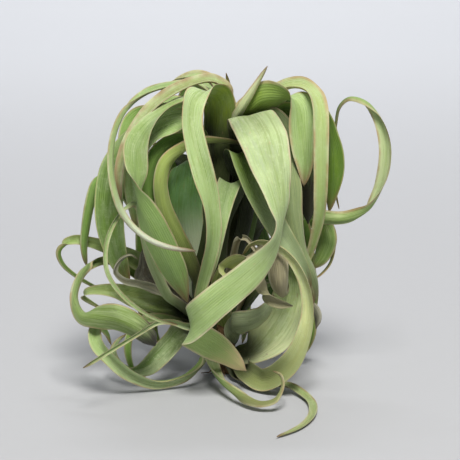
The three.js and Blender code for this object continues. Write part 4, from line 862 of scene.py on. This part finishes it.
grow("leaf_rim_right", GREEN, 0.25, from_stem(-35, 7, 7, 7, -1), [
    (8.8, 0.8, -20, 8.5, 0.1, -0.9, -0.5), (16, -2.4, -30, 9, 0.4, -0.7, -0.7),
    (25.2, 3.6, -36, 8.5, 0.8, -0.5, -0.4), (30.8, 13.6, -37, 7, 0.9, -0.5, -0.2),
    (33.2, 25.6, -36, 5.6, 0.85, -0.6, 0), (31.6, 36, -36, 4.8, 0.8, -0.6, 0.2),
    (27.2, 44.8, -36, 4.2, 0.7, -0.6, 0.4), (21.2, 50.4, -35, 3.6, 0.4, -0.6, 0.7),
    (14.8, 52.8, -33, 3, 0.1, -0.6, 0.8), (9.6, 51.6, -30, 2, -0.3, -0.7, 0.5), (6.4, 47.2, -26, 1),
],
    upper="ccd6a0", streak="b0bc80", under="c0c890", shade="a4ac70", end="7c864e", end_share=0.9,
    end_span=(0.6, 0.3), tip="b8a878", dry_from=0.92,
)
grow("leaf_trailing", GREEN, 0.15, from_stem(-62, 5, 6, 5, -1.5), [
    (4.4, -1, -13, 5, 0.8, 0.55, 0.1), (10, -2.6, -19, 4.6, 0.7, 0.7, 0.2),
    (17.6, -3.8, -23.5, 4.4, 0.5, 0.85, 0.2), (25.2, -4.6, -28, 4, 0.65, 0.75, 0.1),
], laid=[
    (29.5, -35, 1.5, 3.8, 0.93, 0.35, 0.1), (32.5, -44, 1.2, 3.6, 1, 0.2, 0),
    (33, -55, 0.95, 3.3, 1, -0.05, 0), (31, -66, 0.9, 3, 0.96, -0.28, 0),
    (26, -77, 0.85, 2.4, 0.86, -0.5, 0), (18.5, -86, 0.8, 1.1, 0.78, -0.62, 0),
], upper="b2bb8e", under="9aa86e", shade="7c8c54")
grow("leaf_low_loop_right", GREEN, 0.2, from_stem(-84, 9.5, 6, 5, -1), [
    (-5.6, 5.6, -19, 5.2, 1, 0, 0), (-3.2, -0.4, -31, 4.6, 0.8, -0.1, -0.5),
    (1.6, -5.6, -40, 4.2, 0.5, -0.5, -0.7), (7.6, -9.8, -49, 3.8, 0.1, -0.8, -0.5),
    (14.4, -11.8, -54, 3.4, 0, -0.9, -0.35), (20, -10.2, -54, 3, -0.1, -0.9, -0.2),
    (22.8, -4.8, -51, 2.4, 0, -1, 0), (22, -0.8, -46, 1.8), (18.8, 1.2, -40, 1),
], upper="9cae76", streak="7e8f56", under="90a068", end="8c8a58", end_share=0.7, end_span=(0.4, 0.7))
grow("leaf_low_strap", GREEN, 0.25, from_stem(-140, 10.5, 6, 7), [
    (-17.6, 17.6, -13, 8, -0.7, 0.3, 0.6), (-21.6, 13.2, -18, 8.5, -0.7, 0, 0.7),
    (-26.4, 8, -22, 8.5, -0.7, -0.1, 0.7), (-31.6, 3.2, -24, 8, -0.6, -0.3, 0.7),
    (-37.2, 1.2, -24, 6, -0.1, -0.6, 0.8), (-42.4, 4, -20, 4.4, 0.4, -0.7, 0.5),
    (-44.8, 9.2, -15, 3.2, 0.7, -0.7, 0), (-42.8, 13.6, -11, 2), (-39.6, 16, -8, 1),
], upper="788a50", streak="60743c", under="6a8038")
grow("leaf_low_wisp", GREEN, 0.2, from_stem(-166, 15.2, 6, 4), [
    (-26.4, 22.4, -12, 3.8, 0.3, 0.6, 0.7), (-34.4, 20.8, -15, 3.6, 0.4, 0.5, 0.7),
    (-38.4, 15.2, -18, 3.3, 0.9, 0.3, 0), (-39.2, 9.2, -21, 3, 0.95, 0.2, 0),
    (-37.6, 2.8, -23, 2, 0.9, 0.2, 0), (-34.4, -0.8, -21, 1),
])
grow("leaf_left_hook", GREEN, 0.2, from_stem(178, 17.6, 6, 7), [
    (-18.4, 26.4, -3, 9.5, 0, 0.5, 0.9), (-27.2, 29.2, -7, 10, 0.1, 0.2, 1), (-36.4, 30.8, -11, 9),
    (-44.4, 33.2, -14, 6, 0.1, 0.3, 0.9), (-51.2, 33.6, -16, 4, 0.1, 0.4, 0.9),
    (-55.6, 32.8, -16, 3, 0.1, 0.5, 0.8), (-57.2, 31.2, -13, 2.4, 0.4, 0.6, 0.5),
    (-54, 28.8, -9, 2, 0.2, 0.7, 0.5), (-49.2, 26, -7, 1),
], under="9cb068", shade="7c9048")
grow("leaf_left_loop", GREEN, 0.25, from_stem(170, 22.6, 6, 7), [
    (-22.4, 35.6, 3, 8, 0, 0.6, 0.7), (-35.2, 44.8, 6, 7.5, 0.1, 0.4, 0.9),
    (-45.2, 49.6, 4, 5.8, 0.1, 0.3, 0.95), (-53.6, 52.4, 1, 4.5, 0.1, 0.4, 0.9), (-60.8, 53.6, -2, 3.8),
    (-65.2, 51.6, -4, 3, 0.5, 0.7, 0.4), (-66.8, 48.4, -4, 2.4, 0.8, 0.6, 0),
    (-65.2, 44, -3, 2.1, 0.8, 0.6, 0.2), (-60.4, 39.6, -1, 1.8, 0.6, 0.6, 0.5), (-54.4, 36, 2, 1.5),
    (-49.2, 33.6, 4, 1),
])
grow("leaf_left_drop", GREEN, 0.2, from_stem(158, 25.5, 6, 6), [
    (-24.4, 45.6, 12, 8, 0.3, 0.8, 0.3), (-37.6, 66.8, 16, 6.5, 0.4, 0.9, 0.2),
    (-44.8, 76.8, 12, 5.4, 0.6, 0.7, 0.2), (-48.8, 78.8, 6, 4.8, 0.8, 0.6, 0),
    (-52, 75.6, 1, 4.5, 0.9, 0.4, 0), (-54.4, 68, -2, 4.2, 0.95, 0.3, 0),
    (-56, 59.2, -4, 3.7, 0.95, 0.2, 0), (-56.8, 51.2, -5, 3), (-56.4, 46.4, -5, 2.1),
    (-55.6, 42.8, -4, 1),
])
grow("leaf_crown_left", GREEN, 0.2, rising(122, 5.5, 88, 6), [
    (-4, 115.4, 12, 6.5, 0.5, 0.8, 0), (-11, 119.4, 18, 6.8, 0.3, 0.9, 0.3),
    (-19.6, 117.6, 23, 6, 0.3, 0.9, 0.2), (-25.2, 112, 26, 5, 0.5, 0.8, 0),
    (-28.8, 104.8, 29, 4.6, 0.7, 0.7, 0), (-29.6, 95.6, 30, 2.6, 0.8, 0.6, 0), (-27.2, 88.8, 28, 1),
], under="a3955c", rim="b09070", rim_width=2.4, rim_share=0.85)
grow("leaf_crown_back", GREEN, 0.2, rising(84, 8, 88, 7), [
    (-2.4, 111.6, 19, 7.5, 0.9, 0.3, 0), (-8, 116.4, 29, 7.5, 0.9, 0.4, 0.2),
    (-13.6, 114.8, 38, 7, 0.9, 0.4, 0), (-17.6, 106.4, 43, 6, 0.95, 0.2, 0),
    (-18.4, 93.6, 47, 4.5, 1, 0, 0), (-19.2, 79.6, 46, 3), (-16.8, 69.6, 41, 1),
])
grow("leaf_thin_ring", GREEN, 0.2, from_stem(-148, 19, 6, 6), [
    (-18.4, 27.2, -9, 5, 0.7, -0.4, 0.4), (-23.2, 30.8, -16, 4.6, 0.8, -0.2, 0.4),
    (-26.8, 38, -22, 4.2, 0.85, 0, 0.4), (-30.4, 46.8, -26, 4, 0.85, 0, 0.45),
    (-32.8, 56.4, -27, 3.6, 0.9, 0, 0.3), (-34, 64.8, -27, 3, 0.8, 0.5, 0.2),
    (-36.8, 68, -29, 2.6, 0.3, 0.9, 0.3), (-41.6, 64.8, -35, 2.1, 0.4, 0.8, 0.3),
    (-46.4, 57.2, -42, 1.9, 0.7, 0.7, 0), (-48.4, 48.8, -47, 1.9, 0.8, 0.6, 0),
    (-47.6, 40.8, -50, 1.9, 0.7, 0.5, 0.3), (-42.8, 32.8, -52, 1.8, 0.5, 0.4, 0.7),
    (-35.2, 26, -52, 1.6, 0.3, 0.4, 0.8), (-27.2, 21.6, -50, 1.4, 0.2, 0.4, 0.9), (-19.2, 19.6, -47, 1),
], under="b4c08a", shade="94a668")
grow("leaf_short_dull", GREEN, 0.18, from_stem(-25, 13, 6, 8, 2), [
    (4, 20, -14, 9.5, -0.1, -0.4, 0.9), (9.6, 21.2, -20, 9), (14.4, 24, -23, 7, -0.4, -0.4, 0.8),
    (17.6, 28, -24, 4, -0.6, -0.3, 0.6), (19.2, 31.6, -23, 1),
], upper="b8c29c", streak="9aa880", under="a8b48a", shade="808c64", shelter=0.3)


# The dry leaves. They are old ones that died on the stem, went papery and tan, grey or charcoal, and
# curled up as they shrank. They hold on by their bases between the live leaves.
DRY = dict(
    frost=0.2, spots=0.6, rim_width=1.0, glow=0.05, relief=0.25, veins=36, wave=0.05, crumple=0.035,
    shelter=0.4, thread=0.8, bloom="c4c6b4",
)
TAN = "leaf_dry_tan", DRY | dict(
    upper="dad2a8", streak="b2a87c", under="b8ae84", shade="8c8260", base="6d6440", rim="d8cca6",
    tip="8b7a55",
)
GREY = "leaf_dry_grey", DRY | dict(
    upper="aeaa90", streak="848066", under="88866e", shade="5e5a48", base="646052", rim="b4ac98",
    tip="645a4a",
)
DARK = "leaf_dry_dark", DRY | dict(
    upper="6f6854", streak="4a463b", under="524d40", shade="38342c", base="4b4436", rim="8f866f",
    tip="2f2b24",
)
grow("dry_leaf_dark", DARK, 0.3, from_stem(-160, 22.5, 5, 4.5), [
    (-22, 33, -7.5, 4.6, 0.8, 0.3, 0.4), (-28, 36, -10.5, 7.6, 0.9, 0.2, 0.3),
    (-31.6, 39.4, -13, 9.8, 0.95, 0.1, 0.2), (-31.4, 44, -15, 8, 0.95, 0.1, 0.1),
    (-32.4, 48, -16.5, 4.5, 0.9, 0.1, 0.1), (-32.8, 51.2, -17, 1),
])
grow("dry_leaf_curl", TAN, 0.3, from_stem(-172, 20.4, 5.5, 3.5), [
    (-28.4, 34, -15, 3.4, 0.3, 0.4, 0.8), (-35.2, 36, -18, 3, 0.2, 0.4, 0.9),
    (-40.8, 37.2, -20, 2.6, 0.2, 0.5, 0.9), (-44.4, 40.8, -21, 2.3, 0.6, 0.8, 0),
    (-42.4, 45.6, -20, 2, 0.2, 0.9, -0.4), (-38.4, 47.6, -18, 1.6, 0.1, 0.9, -0.4), (-35.2, 46, -16, 1),
], upper="a2a182", streak="76765c", under="86866a", rim="c2c0a0")
grow("dry_leaf_tan", TAN, 0.2, from_stem(-35, 26, 5, 6), [
    (4, 36, -11, 6.5, 0.6, -0.6, 0.4), (10.4, 46.4, -20, 7.5, 0.7, -0.4, 0.5),
    (16.8, 50, -27, 8.5, 0.8, -0.3, 0.4), (20.4, 44.8, -31, 8.5, 1, 0, 0.1),
    (21.2, 37.6, -31, 7.5, 1, 0.1, 0), (22, 32.4, -27, 5), (23.6, 32.4, -21, 3, 0.9, 0.1, 0.2),
    (24.8, 37.6, -18, 1),
])
grow("dry_leaf_whisker", TAN, 0.2, from_stem(-50, 28, 4, 3.5), [
    (2.4, 44.8, -14, 3, 0.7, -0.4, 0.4), (4.8, 53.6, -20, 2.6, 0.8, -0.4, 0.2),
    (8, 54.4, -23, 2.2, 0.6, -0.4, 0.6), (11.2, 50.4, -25, 1.8, 0.8, -0.3, 0.4), (14, 45.2, -25, 1),
])
grow("dry_leaf_flake", GREY, 0.2, from_stem(0, 15, 6, 4, 1), [
    (14.4, 19.6, 8, 4, 0.1, -0.9, 0.4), (27.6, 26.4, 4, 4.4, 0.2, -0.8, 0.5),
    (34, 27.2, 0, 5, 0.4, -0.8, 0.3), (36.4, 23.2, -2, 4.6, 0.6, -0.8, 0), (36, 18, -2, 1),
])


# The back of the rosette. Fourteen plain leaves leave the stem at all heights on the side away from
# the front, rise, arch over and curl under, and the lowest rest on the surface.
# Each leaf's kind, heading, foot height, reach, crest height, swing, width, end height and twist
BACK_LEAVES = [
    (PALE, 62, 25, 47, 92, -18, 9, 14, 30),
    (GREEN, 126, 23, 45, 86, 8, 10, 12, -25),
    (DEEP, 104, 20, 53, 72, -4, 10, 3, 20),
    (GREEN, 142, 17, 40, 52, -2, 8, 6, -30),
    (PALE, 44, 14, 45, 60, -12, 9, 5, 25),
    (GREEN, 82, 11, 51, 40, -4, 8, 0.7, 0),
    (YELLOW, 122, 9, 47, 30, 6, 7, 0.7, 0),
    (GREEN, 22, 11, 37, 36, -8, 7, 3, 20),
    (PALE, 90, 26, 36, 100, 6, 8, 40, -30),
    (GREEN, 112, 25, 37, 96, 14, 8, 32, 35),
    (GREEN, 32, 22, 39, 78, -16, 8, 20, -20),
    (DEEP, 68, 16, 45, 58, -6, 8, 8, 15),
    (GREEN, 100, 7.5, 37, 16, 4, 6, 0.7, 0),
    (YELLOW, 58, 8, 39, 20, -8, 6, 0.7, 0),
]
# Shares of a back leaf's reach, of its crest's height over its end, and of its width, along it
ARCH = [
    (0.14, 0.45, 0.9), (0.26, 0.76, 1), (0.45, 0.97, 1), (0.66, 0.98, 1), (0.86, 0.8, 0.9),
    (0.98, 0.55, 0.75), (1, 0.3, 0.55), (0.92, 0.1, 0.35), (0.78, 0, 0.12),
]
BACK_CHANNEL = 0.18


def arching(heading, foot, reach, crest, swing, width, end, twist):
    """A plain leaf that rises from the stem, arches over and curls under."""
    rows = from_stem(heading, foot, 6, width * 0.7, 2)
    middle = stem_middle(foot)
    for i, (out, up, share) in enumerate(ARCH):
        turn = math.radians(heading + swing * i / (len(ARCH) - 1))
        lean = math.radians(twist * i / (len(ARCH) - 1))
        z = end + (crest - end) * up + (foot * 0.4 if i == 0 else 0)
        away = reach * out + 2
        across = math.cos(lean) * math.sin(turn), -math.cos(lean) * math.cos(turn), math.sin(lean)
        rows.append([middle + away * math.cos(turn), away * math.sin(turn), z, width * share, *across])
    return rows


for number, (kind, *form) in enumerate(BACK_LEAVES, start=1):
    grow(f"leaf_back_{number}", kind, BACK_CHANNEL, arching(*form), [])
